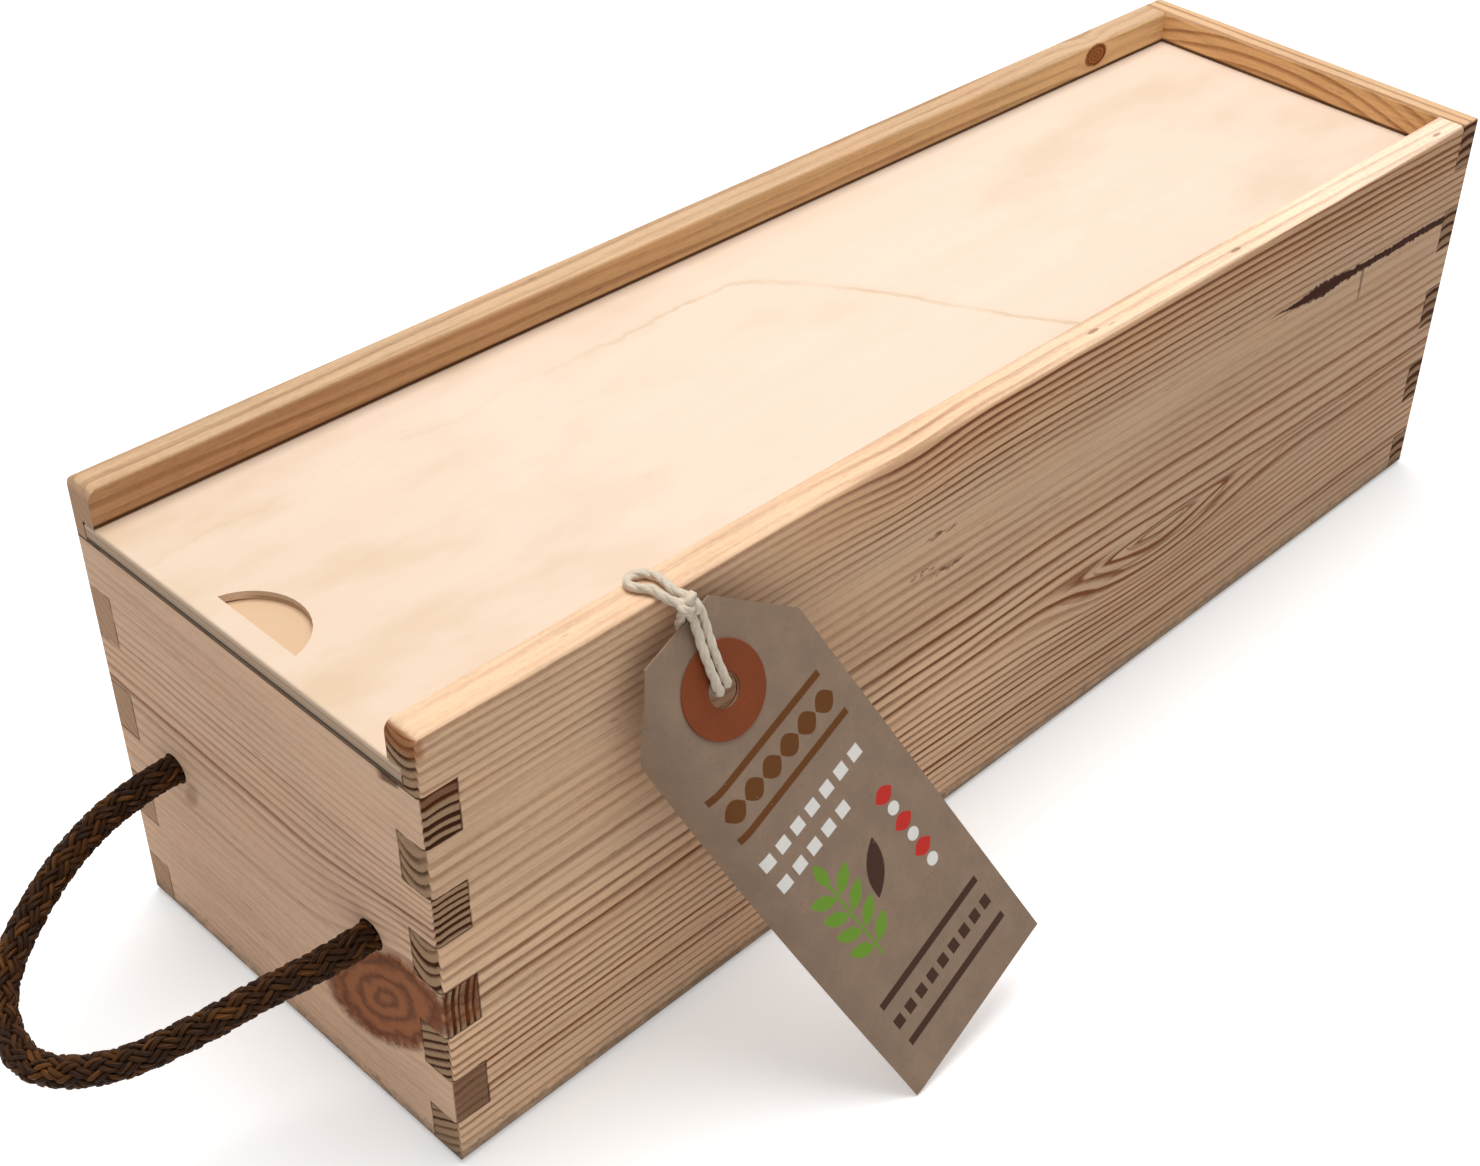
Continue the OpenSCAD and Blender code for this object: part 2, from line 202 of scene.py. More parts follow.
class Wire:
    """A value in a node tree, with which plain arithmetic makes the nodes."""

    def __init__(self, tree, socket):
        self.tree = tree
        self.socket = socket

    def math(self, operation, *others, clamp=False):
        node = add_node(self.tree, "ShaderNodeMath", enumerate((self,) + others),
                        operation=operation, use_clamp=clamp)
        return Wire(self.tree, node.outputs[0])

    __add__ = __radd__ = partialmethod(math, "ADD")
    __sub__ = partialmethod(math, "SUBTRACT")
    __mul__ = __rmul__ = partialmethod(math, "MULTIPLY")
    __truediv__ = partialmethod(math, "DIVIDE")
    __neg__ = partialmethod(math, "MULTIPLY", -1)
    floor = partialmethod(math, "FLOOR")
    fract = partialmethod(math, "FRACT")
    abs = partialmethod(math, "ABSOLUTE")
    sin = partialmethod(math, "SINE")
    cos = partialmethod(math, "COSINE")
    exp = partialmethod(math, "EXPONENT")
    root = partialmethod(math, "SQRT")
    least = partialmethod(math, "MINIMUM")
    most = partialmethod(math, "MAXIMUM")
    clamped = partialmethod(math, "ADD", 0, clamp=True)

    def __rsub__(self, other):
        return -self + other

    def square(self):
        return self * self

    def bell(self, middle, width):
        """1 at the middle, falling smoothly to a third at the width."""
        return (((self - middle) / width).square() * -1).exp()

    def step(self, low, high):
        """0 below low, 1 above high and smooth between them, or 1 to 0 if high is the smaller."""
        flip = not isinstance(low, Wire) and not isinstance(high, Wire) and high < low
        if flip:
            low, high = high, low
        node = add_node(
            self.tree, "ShaderNodeMapRange",
            {"Value": self, "From Min": low, "From Max": high, "To Min": flip, "To Max": not flip},
            interpolation_type="SMOOTHSTEP",
        )
        return Wire(self.tree, node.outputs["Result"])

    def ahead(self):
        """Of one part of a surface's direction: 1 where it points along the axis."""
        return self.step(0.5, 0.8)

    def back(self):
        """Of one part of a surface's direction: 1 where it points against the axis."""
        return self.step(-0.5, -0.8)


def feed(tree, value, socket):
    """Links a wire or an output to a socket, or writes a plain value in it."""
    source = value.socket if isinstance(value, Wire) else value
    if isinstance(source, bpy.types.NodeSocket):
        tree.links.new(source, socket)
    elif socket.type == "RGBA" and len(value) == 3:
        socket.default_value = (*value, 1)
    else:
        socket.default_value = value


def add_node(tree, kind, inputs=(), **traits):
    """A new node with its traits set, and each of its inputs, by name or number, fed."""
    node = tree.nodes.new(kind)
    for name, value in traits.items():
        setattr(node, name, value)
    for label, value in dict(inputs).items():
        feed(tree, value, node.inputs[label])
    return node


def tree_of(values):
    return next(value.tree for value in values if isinstance(value, Wire))


def parts_of(wire):
    node = add_node(wire.tree, "ShaderNodeSeparateXYZ", {0: wire})
    return [Wire(wire.tree, socket) for socket in node.outputs]


def noise(place, detail, roughness):
    """Smooth noise, about 0.5 on average, at a place given by its three coordinates."""
    tree = tree_of(place)
    joined = add_node(tree, "ShaderNodeCombineXYZ", enumerate(place))
    inputs = {"Vector": joined.outputs[0], "Scale": 1, "Detail": detail, "Roughness": roughness}
    return Wire(tree, add_node(tree, "ShaderNodeTexNoise", inputs).outputs["Fac"])


def random_of(wire):
    node = add_node(wire.tree, "ShaderNodeTexWhiteNoise", {"W": wire}, noise_dimensions="1D")
    return Wire(wire.tree, node.outputs["Value"])


def mix(share, under, over, blend="MIX"):
    """The colour under, covered with over by the share."""
    tree = tree_of((share, under, over))
    node = add_node(tree, "ShaderNodeMix", {0: share, 6: under, 7: over},
                    data_type="RGBA", blend_type=blend)
    return Wire(tree, node.outputs[2])


def layered(base, *layers):
    """The colour with each (share, colour) or (share, colour, blend) laid over it in turn."""
    for share, over, *blend in layers:
        base = mix(share, base, over, *blend)
    return base


def oval(u, v, long, wide):
    """0 in an oval's middle and 1 on its rim, growing with the square of the distance."""
    return (u / long).square() + (v / wide).square()


def turned(u, v, degrees):
    """The place (u, v) on axes that are turned by so many degrees."""
    cos, sin = math.cos(math.radians(degrees)), math.sin(math.radians(degrees))
    return u * cos + v * sin, v * cos - u * sin


def group_tree(name, inputs, outputs, kind="ShaderNodeTree"):
    """A new node group; inputs and outputs map a name to a socket type and a default."""
    tree = bpy.data.node_groups.new(name, kind)
    for in_out, sockets in (("INPUT", inputs), ("OUTPUT", outputs)):
        for label, (socket_type, default) in sockets.items():
            socket = tree.interface.new_socket(
                label, in_out=in_out, socket_type="NodeSocket" + socket_type
            )
            if default is not None:
                socket.default_value = default
    inside = tree.nodes.new("NodeGroupInput")
    wires = {s.name: Wire(tree, s) for s in inside.outputs if s.name}
    return tree, wires, tree.nodes.new("NodeGroupOutput")


def place_group(tree, group, **values):
    """Puts a shader group in a tree. Underscores in the names stand for spaces."""
    inputs = {label.replace("_", " ").capitalize(): value for label, value in values.items()}
    node = add_node(tree, "ShaderNodeGroup", inputs, node_tree=group)
    return {socket.name: Wire(tree, socket) for socket in node.outputs}


# ---- materials ---------------------------------------------------------------

# Where parts of the box begin and end, in mm: the outer face of the right side
# across the box, and the rims' inner faces and the rims' tops upwards.
OUTER_FACE = (50, 51)
RIM_FOOT = (100, 101)
RIM_TOP = (110, 110.6)

# How far growth lines stray from their course in long waves and in short ones,
# and how soft the edge of a print is.
GROWTH_WANDER = 3.4
GROWTH_RIPPLE = 0.9
INK_EDGE = 0.12


def growth_rings_group():
    """Softwood: growth lines, fibres, dark flecks and a rougher end grain."""
    tree, at, out = group_tree(
        "Growth rings",
        dict.fromkeys(("Ring", "Along", "Across", "Depth", "Cut"), ("Float", 0.0))
        | {"Spacing": ("Float", 3.0), "Strength": ("Float", 1.0)}
        | dict.fromkeys(("Early", "Late", "End early", "End late"), ("Color", None)),
        {"Colour": ("Color", None), "Roughness": ("Float", None), "Height": ("Float", None)},
    )
    along, across, depth, cut = at["Along"], at["Across"], at["Depth"], at["Cut"]

    def streaks(long, wide, detail, roughness):
        return noise((along * long, across * wide, depth * wide), detail, roughness)

    wander = streaks(0.008, 0.03, 2, 0.5)
    ripple = noise((along * 0.05, across * 0.2, depth * 0.1), 2, 0.5)
    ring = at["Ring"] + (wander - 0.5) * GROWTH_WANDER + (ripple - 0.5) * GROWTH_RIPPLE
    count = ring / at["Spacing"]
    year = count.floor()
    season = count.fract()
    strength = (random_of(year) * 0.6 + 0.4) * at["Strength"]
    start = random_of(year + 0.5) * 0.3 + 0.15
    line = season.step(start, 0.8) * season.step(1.0, 0.84) * strength
    fine = streaks(0.012, 1.1, 2, 0.6) - 0.5
    fibre = streaks(0.1, 2.6, 3, 0.6)
    grit = streaks(0.7, 1.3, 2, 0.6) - 0.5
    cloud = streaks(0.014, 0.07, 3, 0.55)
    fleck = streaks(0.14, 0.9, 1, 0.4).step(0.745, 0.80)
    share = line * 0.95 + fine * 0.5 + (fibre - 0.5) * 0.45 + grit * 0.3 + (cloud - 0.5) * 0.5
    long_grain = mix((share + 0.06).clamped(), at["Early"], at["Late"])
    long_grain = mix(fleck * 0.3, long_grain, at["End late"])
    pores = streaks(0.2, 2.2, 3, 0.7)
    end_grain = mix((line * 1.5 + (pores - 0.5) * 0.6 + grit * 0.4).clamped(),
                    at["End early"], at["End late"])
    wood = mix(cut, long_grain, end_grain)
    tint = mix(streaks(0.03, 0.06, 2, 0.5),
               (1.06, 0.96, 0.87), (0.96, 1.0, 0.98))
    wood = mix(1.0, wood, tint, "MULTIPLY")
    feed(tree, wood, out.inputs["Colour"])
    feed(tree, 0.64 + cut * 0.2 - line * 0.14, out.inputs["Roughness"])
    feed(tree, line * 0.5 + fibre * 0.35 - fleck * 0.6 + pores * cut * 0.8, out.inputs["Height"])
    return tree


HAIRLINE = (0.28, 0.08)
BOARD_DEPTH = (7, 7.3)


def joint_lines_group():
    """Dark hairlines where the fingers of two boards meet, from the place on the box in mm."""
    tree, at, out = group_tree(
        "Joint lines",
        dict.fromkeys(("X", "Y", "Z", "Half width", "Half length", "Top"), ("Float", 0.0))
        | {"Finger": ("Float", 12.0)},
        {"Line": ("Float", None)},
    )
    past_side = at["X"].abs() - at["Half width"]
    past_end = at["Y"].abs() - at["Half length"]
    back = at["Y"].step(-1, 1)
    block = (at["Z"] / at["Finger"]).least(8.5)
    odd = ((block + back) / 2).fract().step(0.499, 0.501)
    level = ((block + 0.5).fract() - 0.5).abs() * at["Finger"]
    in_corner = past_side.step(-0.3, 0.0) * past_end.step(-0.3, 0.0)
    flat = level.step(*HAIRLINE) * in_corner
    on_side = past_end.abs().step(*HAIRLINE) * past_side.step(*BOARD_DEPTH) * odd
    on_end = past_side.abs().step(*HAIRLINE) * past_end.step(*BOARD_DEPTH) * (1 - odd)
    below = at["Z"].step(at["Top"] + 0.3, at["Top"] - 0.1).most(back)
    uneven = noise((at["X"] * 0.2, at["Y"] * 0.2, at["Z"] * 0.2), 2, 0.6)
    line = flat.most(on_side).most(on_end) * below * uneven.step(0.3, 0.6)
    feed(tree, line, out.inputs["Line"])
    return tree


def new_material(name):
    """A material with its tree, and the place in mm and the direction of each of its points."""
    material = bpy.data.materials.new(name)
    material.use_nodes = True
    tree = material.node_tree
    where = tree.nodes.new("ShaderNodeTexCoord").outputs
    scaled = add_node(tree, "ShaderNodeVectorMath", {0: where["Object"], "Scale": 1 / MM},
                      operation="SCALE")
    place, facing = (parts_of(Wire(tree, s)) for s in (scaled.outputs[0], where["Normal"]))
    return material, tree, place, facing


def finished(material, base, roughness, height, relief, gloss=0.25, sheen=0):
    """The material with its colour, roughness, gloss and sheen, and a relief of some depth."""
    tree = material.node_tree
    bump = add_node(tree, "ShaderNodeBump", {"Strength": 1, "Distance": relief, "Height": height})
    for label, value in (
        ("Base Color", base), ("Roughness", roughness), ("Normal", bump.outputs["Normal"]),
        ("Specular IOR Level", gloss), ("Sheen Weight", sheen),
    ):
        feed(tree, value, tree.nodes["Principled BSDF"].inputs[label])
    return material


def knot_reach(along, across, centre, size, stretch, turn):
    """Distance from a knot's centre, 1 at its rim. The knot is stretched, and turned by degrees."""
    u, v = turned(along - centre[0], across - centre[1], turn)
    return oval(u, v, size * stretch, size).root()


def pine_material(name, groups, grain, knots, marks):
    """Pine for one board. grain gives its coordinates from the place on the box."""
    pine = settings("pine")
    material, tree, place, facing = new_material(name)
    x, y, z = place
    look = {"early": pine.early} | grain(place, facing)
    along, across, depth = look["along"], look["across"], look["depth"]
    reaches = [knot_reach(along, across, *knot) for knot in knots]
    for (centre, *_), reach in zip(knots, reaches):
        look["ring"] -= (across - centre[1]) * (reach * reach * -0.4).exp() * 0.9
    wood = place_group(tree, groups["rings"], late=pine.late, end_early=pine.end,
                       end_late=pine.end_late, **look)
    base, roughness, height = wood["Colour"], wood["Roughness"], wood["Height"]
    for reach in reaches:
        wobble = noise((along * 0.14, across * 0.14, depth * 0.1), 3, 0.6)
        inside = (reach + (wobble - 0.5) * 0.4).step(1.18, 0.88)
        swirls = ((reach * 3 + wobble * 1.6) * 2 * math.pi).sin() * 0.5 + 0.5
        ragged = noise((along * 0.5, across * 0.5, depth * 0.3), 3, 0.7)
        heart = mix((swirls * swirls * 0.75 + ragged * 0.3).clamped(), pine.knot, pine.knot_ring)
        rim = reach.step(1.2, 1.0) * reach.step(0.78, 0.98) * ragged.step(0.3, 0.6)
        base = layered(base, (inside * 0.92, heart), (rim * 0.7, pine.knot_ring))
        height = height - inside * 0.3
    base, height = marks(place, facing, base, height, pine)
    joints = place_group(tree, groups["joints"], x=x, y=y, z=z, finger=FINGER / MM,
                         half_width=(HALF_WIDTH - BOARD) / MM, half_length=-FRONT_HIGH[1] / MM,
                         top=FRONT_HIGH[2] / MM)["Line"]
    rough = noise((x * 0.25, y * 0.25, z * 0.5), 3, 0.65)
    # Painted shade and dirt: a ragged darker band along the rounded lower edges, then dark specks of
    # dirt near the table.
    bottom_shade_and_grime = (z + (rough - 0.5) * 8).step(5.5, 0.8)
    specks = noise((x * 0.5, y * 0.5, z * 0.5), 2, 0.6).step(0.62, 0.7) * z.step(9, 1)
    base = layered(base, (joints * 0.75, pine.seam), (bottom_shade_and_grime * 0.75, pine.bottom_shade_and_grime),
                   (specks * 0.6, shade(pine.bottom_shade_and_grime, 0.45)))
    return finished(material, base, roughness, height - joints * 2, relief=0.12 * MM, gloss=0.04)


def painted_shadow_above_lid(z, inward):
    """Painted shadow: a dark line on the inner faces of the rims, just above the lid."""
    lid = LID_HIGH[2] / MM
    return z.step(lid + 1.3, lid + 0.7) * z.step(lid - 1, lid - 0.5) * inward


# What is drawn on the right side, in mm: the arch's middle, the ridge under it,
# the bows that hang from the ridge (middle, half width, depth and strength), the
# nicks (middle, height and half length) and the dots on the rim's top (along and
# across the box).
ARCH_Y = 46
RIDGE_Z = 43.4
SIDE_BOWS = [(44.5, 12.5, 3.6, 0.5), (48, 29, 7.6, 0.6), (54, 50, 12, 0.35)]
SIDE_NICKS = [(-40, 84.6, 6), (-38, 74, 7), (-45, 76.5, 5)]
RIM_DOTS = [(12, 49.6), (66, 50.0), (157, 50.4)]


def side_grain(place, facing):
    """Right side: level lines with a small arch, closer near the table and near the rim."""
    x, y, z = place
    cut = facing[1].abs().ahead()
    arch = y.bell(ARCH_Y, 30) * z.step(45.2, 41.5) * (42 - z).most(0).bell(0, 15)
    sag = y.bell(ARCH_Y, 75) * z.step(40, 30) * 4.5
    wave = y.bell(-52, 17) * z.bell(104, 9) * 3
    drop = y.most(0) * 0.027
    low = z.step(44, 34)
    smile = (x - 49).square() * 0.14 * (1 - low) + (x - 49) * 0.8 * low
    packed = (z - 36).least(0) * 0.3 + (z - 84).most(0) * 0.3 - (z.most(36).least(82) - 36) * 0.1
    ring = z + packed + arch * 9 + sag + wave + drop - smile * cut
    bare = (z + y * 0.02).bell(82, 4.5) * 0.75
    far = y.step(-20, 110) * z.step(98, 92) * 0.2
    high = z.step(94, 98) * y.step(-80, 0) * 0.3
    plain = y.bell(20, 60) * z.bell(77, 13) * 0.5
    near = z.step(45, 60) * y.step(-40, -90) * (1 - cut) * 0.38
    bold = y.step(-90, -20) * 0.22 + 0.95
    strength = (1 - bare) * (1 - far) * (1 - plain) * (1 - near) * bold + high
    up = facing[2].ahead()
    flame = y.bell(-52, 30) * x.step(45, 50)
    ring = ring + up * (53 - x) * 0.9
    quiet = (up * (0.6 - flame * 0.5)).most(facing[0].back() * 0.5)
    strength = (strength + arch * 0.35) * (1 - quiet)
    pine = settings("pine")
    # Painted shade and light on the right side: its colour darkens towards the back and lightens low
    # down towards the front, to even out the lamp's light; it is also warmer near the rim at the
    # front.
    side_with_painted_shade = mix(y.step(-120, 90), pine.side, shade(pine.side, 0.78))
    side_with_painted_shade = mix(z.step(64, 48) * y.step(20, -60), side_with_painted_shade, shade(pine.side, 1.12))
    warm = z.step(92, 104) * y.step(-110, -70)
    side_with_painted_shade = mix(warm * 0.6, side_with_painted_shade, (1.04, 0.88, 0.74), "MULTIPLY")
    # Painted highlight: the right side's top faces take a paler rim colour that brightens and whitens
    # towards the back.
    top = mix(y.step(-60, 150), pine.rim_top_with_highlight, shade(pine.rim_top_with_highlight, 1.2, 1.32, 1.5))
    return dict(along=y, across=z, depth=x, cut=cut, ring=ring, spacing=3.0, strength=strength,
                early=mix(up, side_with_painted_shade, top))


def side_marks(place, facing, base, height, pine):
    """The bark crack with its spur, bows in the grain, nicks, dots and the rim's front end."""
    x, y, z = place
    outside = x.step(*OUTER_FACE)
    wobble = noise((y * 0.12, z * 0.05, 0.0), 4, 0.7) - 0.5
    gap = (z - 86.6 + (y - 80) * 0.032 + wobble * 1.8).abs()
    bulge = y.bell(106, 9) * 1.1
    chips = noise((y * 0.5, z * 0.35, 2.0), 3, 0.7) - 0.5
    width = ((y - 82) * 0.045).least(1.15) + bulge
    split = (gap - width + chips * width * 2).step(0.3, -0.3) * y.step(80, 86) * outside
    spur = (y - 126.5 + wobble * 2).abs().step(0.9, 0.3) * z.step(72, 78) * z.step(85, 84)
    spur = spur * outside
    base = mix((spur * 0.55).most(split), base, pine.bark)
    for middle, half, depth, strength in SIDE_BOWS:
        reach = ((y - middle + wobble * 3) / half).square()
        line = (z - RIDGE_Z + (1 - reach).most(0).root() * depth + wobble * 0.8).abs()
        bow = line.step(0.75, 0.1) * reach.step(1.0, 0.9) * outside
        base = mix(bow * strength, base, pine.late)
    ridge = (z - RIDGE_Z + (y - 20) * 0.006 + wobble * 0.8).abs().step(0.8, 0.1) * y.step(10, 40)
    base = mix(ridge * outside * 0.6, base, pine.late)
    ragged = noise((y * 0.4, z * 0.9, 3.0), 3, 0.7).step(0.45, 0.6)
    for middle, level, long in SIDE_NICKS:
        nick = oval(y - middle, z - level, long, 1.1).step(1.0, 0.4)
        base = mix(nick * ragged * outside * 0.75, base, pine.knot_ring)
    cap = y.step(-172.3, -174) * z.step(105.5, 107.5) * z.step(110.9, 110.0)
    # Painted shadow on the rim's inner face, just above the lid.
    seam = painted_shadow_above_lid(z, facing[0].back())
    base = layered(base, (cap * 0.6, pine.knot), (seam * 0.9, pine.seam))
    for along, across in RIM_DOTS:
        dot = oval(y - along, x - across, 2.4, 0.7).step(1.0, 0.3)
        base = mix(dot * z.step(*RIM_TOP) * 0.55, base, pine.knot_ring)
    return base, height - split * 1.5 - spur


def left_grain(place, facing):
    x, y, z = place
    cut = facing[1].abs().ahead()
    ring = z * 0.9 + (x + 70).square() * 0.02 + y * 0.015 + 40
    return dict(along=y, across=z, depth=x, cut=cut, ring=ring, spacing=2.9,
                strength=(z.step(96, 108) * -0.35 + 0.75) * (1 - cut * 0.4))


def left_marks(place, facing, base, height, pine):
    """The worn front end, painted shade on the rim's inner face that darkens it towards the front and
    warms it towards the back, and the painted shadow above the lid.
    """
    _, y, z = place
    inner = facing[0].ahead() * z.step(*RIM_FOOT)
    return layered(
        base,
        (facing[1].back() * 0.6, shade(pine.early, 0.78, 0.73, 0.78)),
        (facing[2].ahead(), (0.86, 0.88, 0.92), "MULTIPLY"),
        # Painted shade: the rim's inner face darkens towards the front.
        (inner * 0.9, mix(y.step(-175, 160), (0.71, 0.60, 0.51), (1.03, 1.05, 0.92)), "MULTIPLY"),
        # Painted shadow above the lid.
        (painted_shadow_above_lid(z, inner) * 0.92, pine.seam),
    ), height


def front_grain(place, facing):
    """Front: fine lines through the middle, plain wood above and below; dark finger ends."""
    x, y, z = place
    cut = facing[0].abs().ahead()
    bend = y + 171
    fan = z.step(36.4, 36.9) * z.step(49.2, 48.8) * cut
    ring = z + x * 0.03 * (1 - cut) + bend.square() * 0.03 * cut - bend * 1.5 * fan
    face = z.bell(64, 17) * 0.72 + 0.12
    ends = 1.6 - z.step(31, 30) * 1.2 - x.step(-40, -46) * 1.0
    strength = face * (1 - cut) + ends * cut
    ring = ring + (66 - z).most(0).least(32) * 0.3
    return dict(along=x, across=z, depth=y, cut=cut, ring=ring, spacing=2.4, strength=strength)


def front_marks(place, facing, base, height, pine):
    """Painted shadow under the lid and by the groove, the brown tops of the finger ends and a stain
    by one hole.
    """
    x, _, z = place
    front = facing[1].back()
    ends = facing[0].abs().ahead()
    top = FRONT_HIGH[2] / MM
    brown = ends * (z.step(94, 95.5) + z.step(26, 24) * z.step(11.5, 12.5) * 0.75).least(1.0)
    # Painted shadow: a dark edge at the top of the front face under the lid, and a dark wedge below
    # the lid's corner by the groove.
    under_lid = z.step(top - 0.6, top - 0.2) * front
    shade_by_groove = x.step(40.5, 43) * x.step(47.6, 46.6) * (z - (x - 42) * 0.2).step(95.2, 96.2)
    shade_by_groove = shade_by_groove * front * z.step(98.2, 98)
    stain = oval(x + 27.5 - (z - 45) * 0.4, z - 45, 3, 5).step(1.0, 0.0)
    return layered(
        base,
        (brown * 0.6, pine.knot_ring),
        (under_lid * 0.85, pine.seam),
        (shade_by_groove * 0.8, pine.seam),
        (stain * front * 0.35, pine.knot_ring),
        (front, (1.02, 1.05, 1.24), "MULTIPLY"),
    ), height


def back_grain(place, facing):
    x, y, z = place
    cut = facing[0].abs().ahead()
    up = facing[2].ahead()
    ring = z + ((x / 30).square() * 3.5 + x * 0.06) * (1 - up) + (y - 171).square() * 0.04
    ring = ring + (y - 171) * up
    return dict(along=x, across=z, depth=y, cut=cut, ring=ring, spacing=3.4, strength=0.7 + cut * 0.9)


def back_marks(place, facing, base, height, pine):
    inner = facing[1].back() * place[2].step(*RIM_FOOT)
    return layered(
        base,
        (facing[0].abs().ahead() * 0.2, pine.knot_ring),
        (inner, (1.08, 0.98, 0.78), "MULTIPLY"),
        # Painted shadow above the lid.
        (painted_shadow_above_lid(place[2], inner) * 0.9, pine.seam),
    ), height


def lid_figure(x, y):
    """Long flowing lines in the lid's face, faint and broken."""
    wiggle = noise((x * 0.06, y * 0.05, 0.5), 4, 0.6) - 0.5
    marks = x * 0
    for start, end, low, high, strength in ((-24, 46, -30, 58, 0.7), (50, 110, -60, 70, 0.1)):
        line = x - low - y.step(start, end) * (high - low) + wiggle * 14
        slope = y.step(start, start + 12) * y.step(end, end - 12) * 1.4 + 1
        mark = ((line.abs() / slope).step(1.1, 0.1) + line.step(-9, 0) * line.step(0.5, 0)
                * 0.25) * (y.step(start - 70, start + 10) * 0.75 + 0.25) * strength
        marks = marks.most(mark)
    broken = noise((x * 0.04, y * 0.04, 7.0), 2, 0.5).step(0.3, 0.6)
    return marks * (broken * 0.7 + 0.3)


def ply_material(name, low, high, is_lid):
    """Three-ply board: pale rotary-cut faces with flowing lines, and plies at the edges."""
    ply = settings("ply")
    material, _, (x, y, z), facing = new_material(name)
    flame = noise((x * 0.1, y * 0.012, 1.0), 4, 0.6)
    cloud = noise((x * 0.03, y * 0.012, 4.0), 3, 0.55)
    pores = noise((x * 3.0, y * 0.12, z), 2, 0.6)
    figure = (flame - 0.5) * 0.4 + cloud.step(0.48, 0.72) * 0.4
    if is_lid:
        fleck = noise((x * 0.07, y * 0.025, 9.0), 3, 0.55)
        # The last term is painted shade: the lid's face darkens towards its front edge.
        figure = figure + lid_figure(x, y) * 0.75 + y.step(-80, -172) * 0.25
        figure = figure + fleck.step(0.42, 0.78) * y.step(-20, -130) * 0.4
    base = mix((figure + 0.05).clamped(), ply.face, ply.figure)
    base = mix(pores.step(0.62, 0.75) * 0.14, base, ply.core)
    veneer = ply.veneer / MM
    bottom, top = low[2] / MM, high[2] / MM
    up = facing[2].abs()
    edge = 1 - up.step(0.5, 0.85)
    inner = (z - bottom).step(veneer - 0.1, veneer + 0.1) * (top - z).step(veneer - 0.1, veneer + 0.1)
    seam = ((z - bottom - veneer).abs().step(0.22, 0.05)
            + (top - z - veneer).abs().step(0.22, 0.05)).least(1.0)
    thread = noise((x * 0.3, y * 0.3, z * 6), 3, 0.6)
    edge_wood = mix((inner * 0.6 + thread * 0.35).clamped(), ply.edge, ply.core)
    edge_wood = mix(seam * 0.5, edge_wood, ply.glue_line_and_shade)
    height = pores * 0.5 + thread * edge - seam * edge
    if is_lid:
        front = facing[1].back()
        shadow = z.step(bottom + 1.1, bottom + 0.7) * front
        in_notch = z.step(top - 0.04, top - 0.2) * y.step(-158, -159) * (1 - front)
        floor = mix(noise((x * 0.8, y * 0.25, 2.0), 3, 0.6), ply.notch, ply.figure)
        base = mix(in_notch * (1 - edge), base, floor)
        wall = mix(thread * 0.5, ply.face, ply.figure)
        # Painted shade: a dark line at the foot of the thumb notch's wall.
        foot = z.step(top - 1.6, top - 1.75) * in_notch
        edge_wood = layered(edge_wood, (shadow * 0.92, ply.gap), (in_notch, wall),
                            (foot * 0.8, ply.glue_line_and_shade))
    return finished(material, mix(edge, base, edge_wood), 0.58 + edge * 0.2, height,
                    relief=0.05 * MM)


def attribute(tree, name):
    node = add_node(tree, "ShaderNodeAttribute", attribute_name=name)
    return Wire(tree, node.outputs["Fac"])


def rope_material():
    """Brown braid: dark yarns of fine filaments, some of them golden, more in some places. The golden
    colour is partly the yarns' own and partly a painted sheen of the glossy filaments.
    """
    rope = settings("rope")
    material, tree, *_ = new_material("Rope yarn")
    yarn, along, around = (attribute(tree, name) for name in ("yarn", "along", "around"))
    filaments = noise((around * 14 + along * 900, along * 60, yarn * 7), 3, 0.6)
    tone = random_of(yarn + 3.5)
    patch = noise((along * 90, yarn, 0.0), 2, 0.5)
    # Golden filaments: partly their own colour and partly a painted sheen.
    gold_and_sheen = (tone.step(0.3, 0.95) * 0.25 + filaments.step(0.48, 0.72) * 0.65) * patch.step(0.3, 0.65)
    base = mix(gold_and_sheen.least(1.0), rope.dark, rope.gold_and_sheen)
    return finished(material, base, 0.42 + filaments * 0.25, filaments, relief=0.14 * MM,
                    gloss=0.12)


def string_material():
    cotton = settings("string").cotton
    material, tree, *_ = new_material("Cotton string")
    along, around = attribute(tree, "along"), attribute(tree, "around")
    fibres = noise((around * 8 + along * 1500, along * 250, 0.0), 3, 0.65)
    base = mix(fibres.step(0.3, 0.7), shade(cotton, 0.78), cotton)
    return finished(material, base, 0.9, fibres, relief=0.1 * MM, sheen=0.3)


def card_surface(place, tone):
    """Colour and height of uncoated kraft card, with its long fibres and flecks."""
    x, y, z = place
    fibres = noise((x * 0.9, y * 1.4, z * 1.1), 5, 0.7)
    mottle = noise((x * 0.14, y * 0.14, z * 0.14), 4, 0.65).step(0.25, 0.75)
    flecks = noise((x * 2.2, y * 0.6, z * 2.0), 1, 0.5).step(0.68, 0.76)
    base = mix(fibres * 0.7 + mottle * 0.5 - 0.1, shade(tone, 0.8),
               tuple(min(c * 1.14, 1) for c in tone))
    return mix(flecks * 0.35, base, shade(tone, 0.55)), fibres


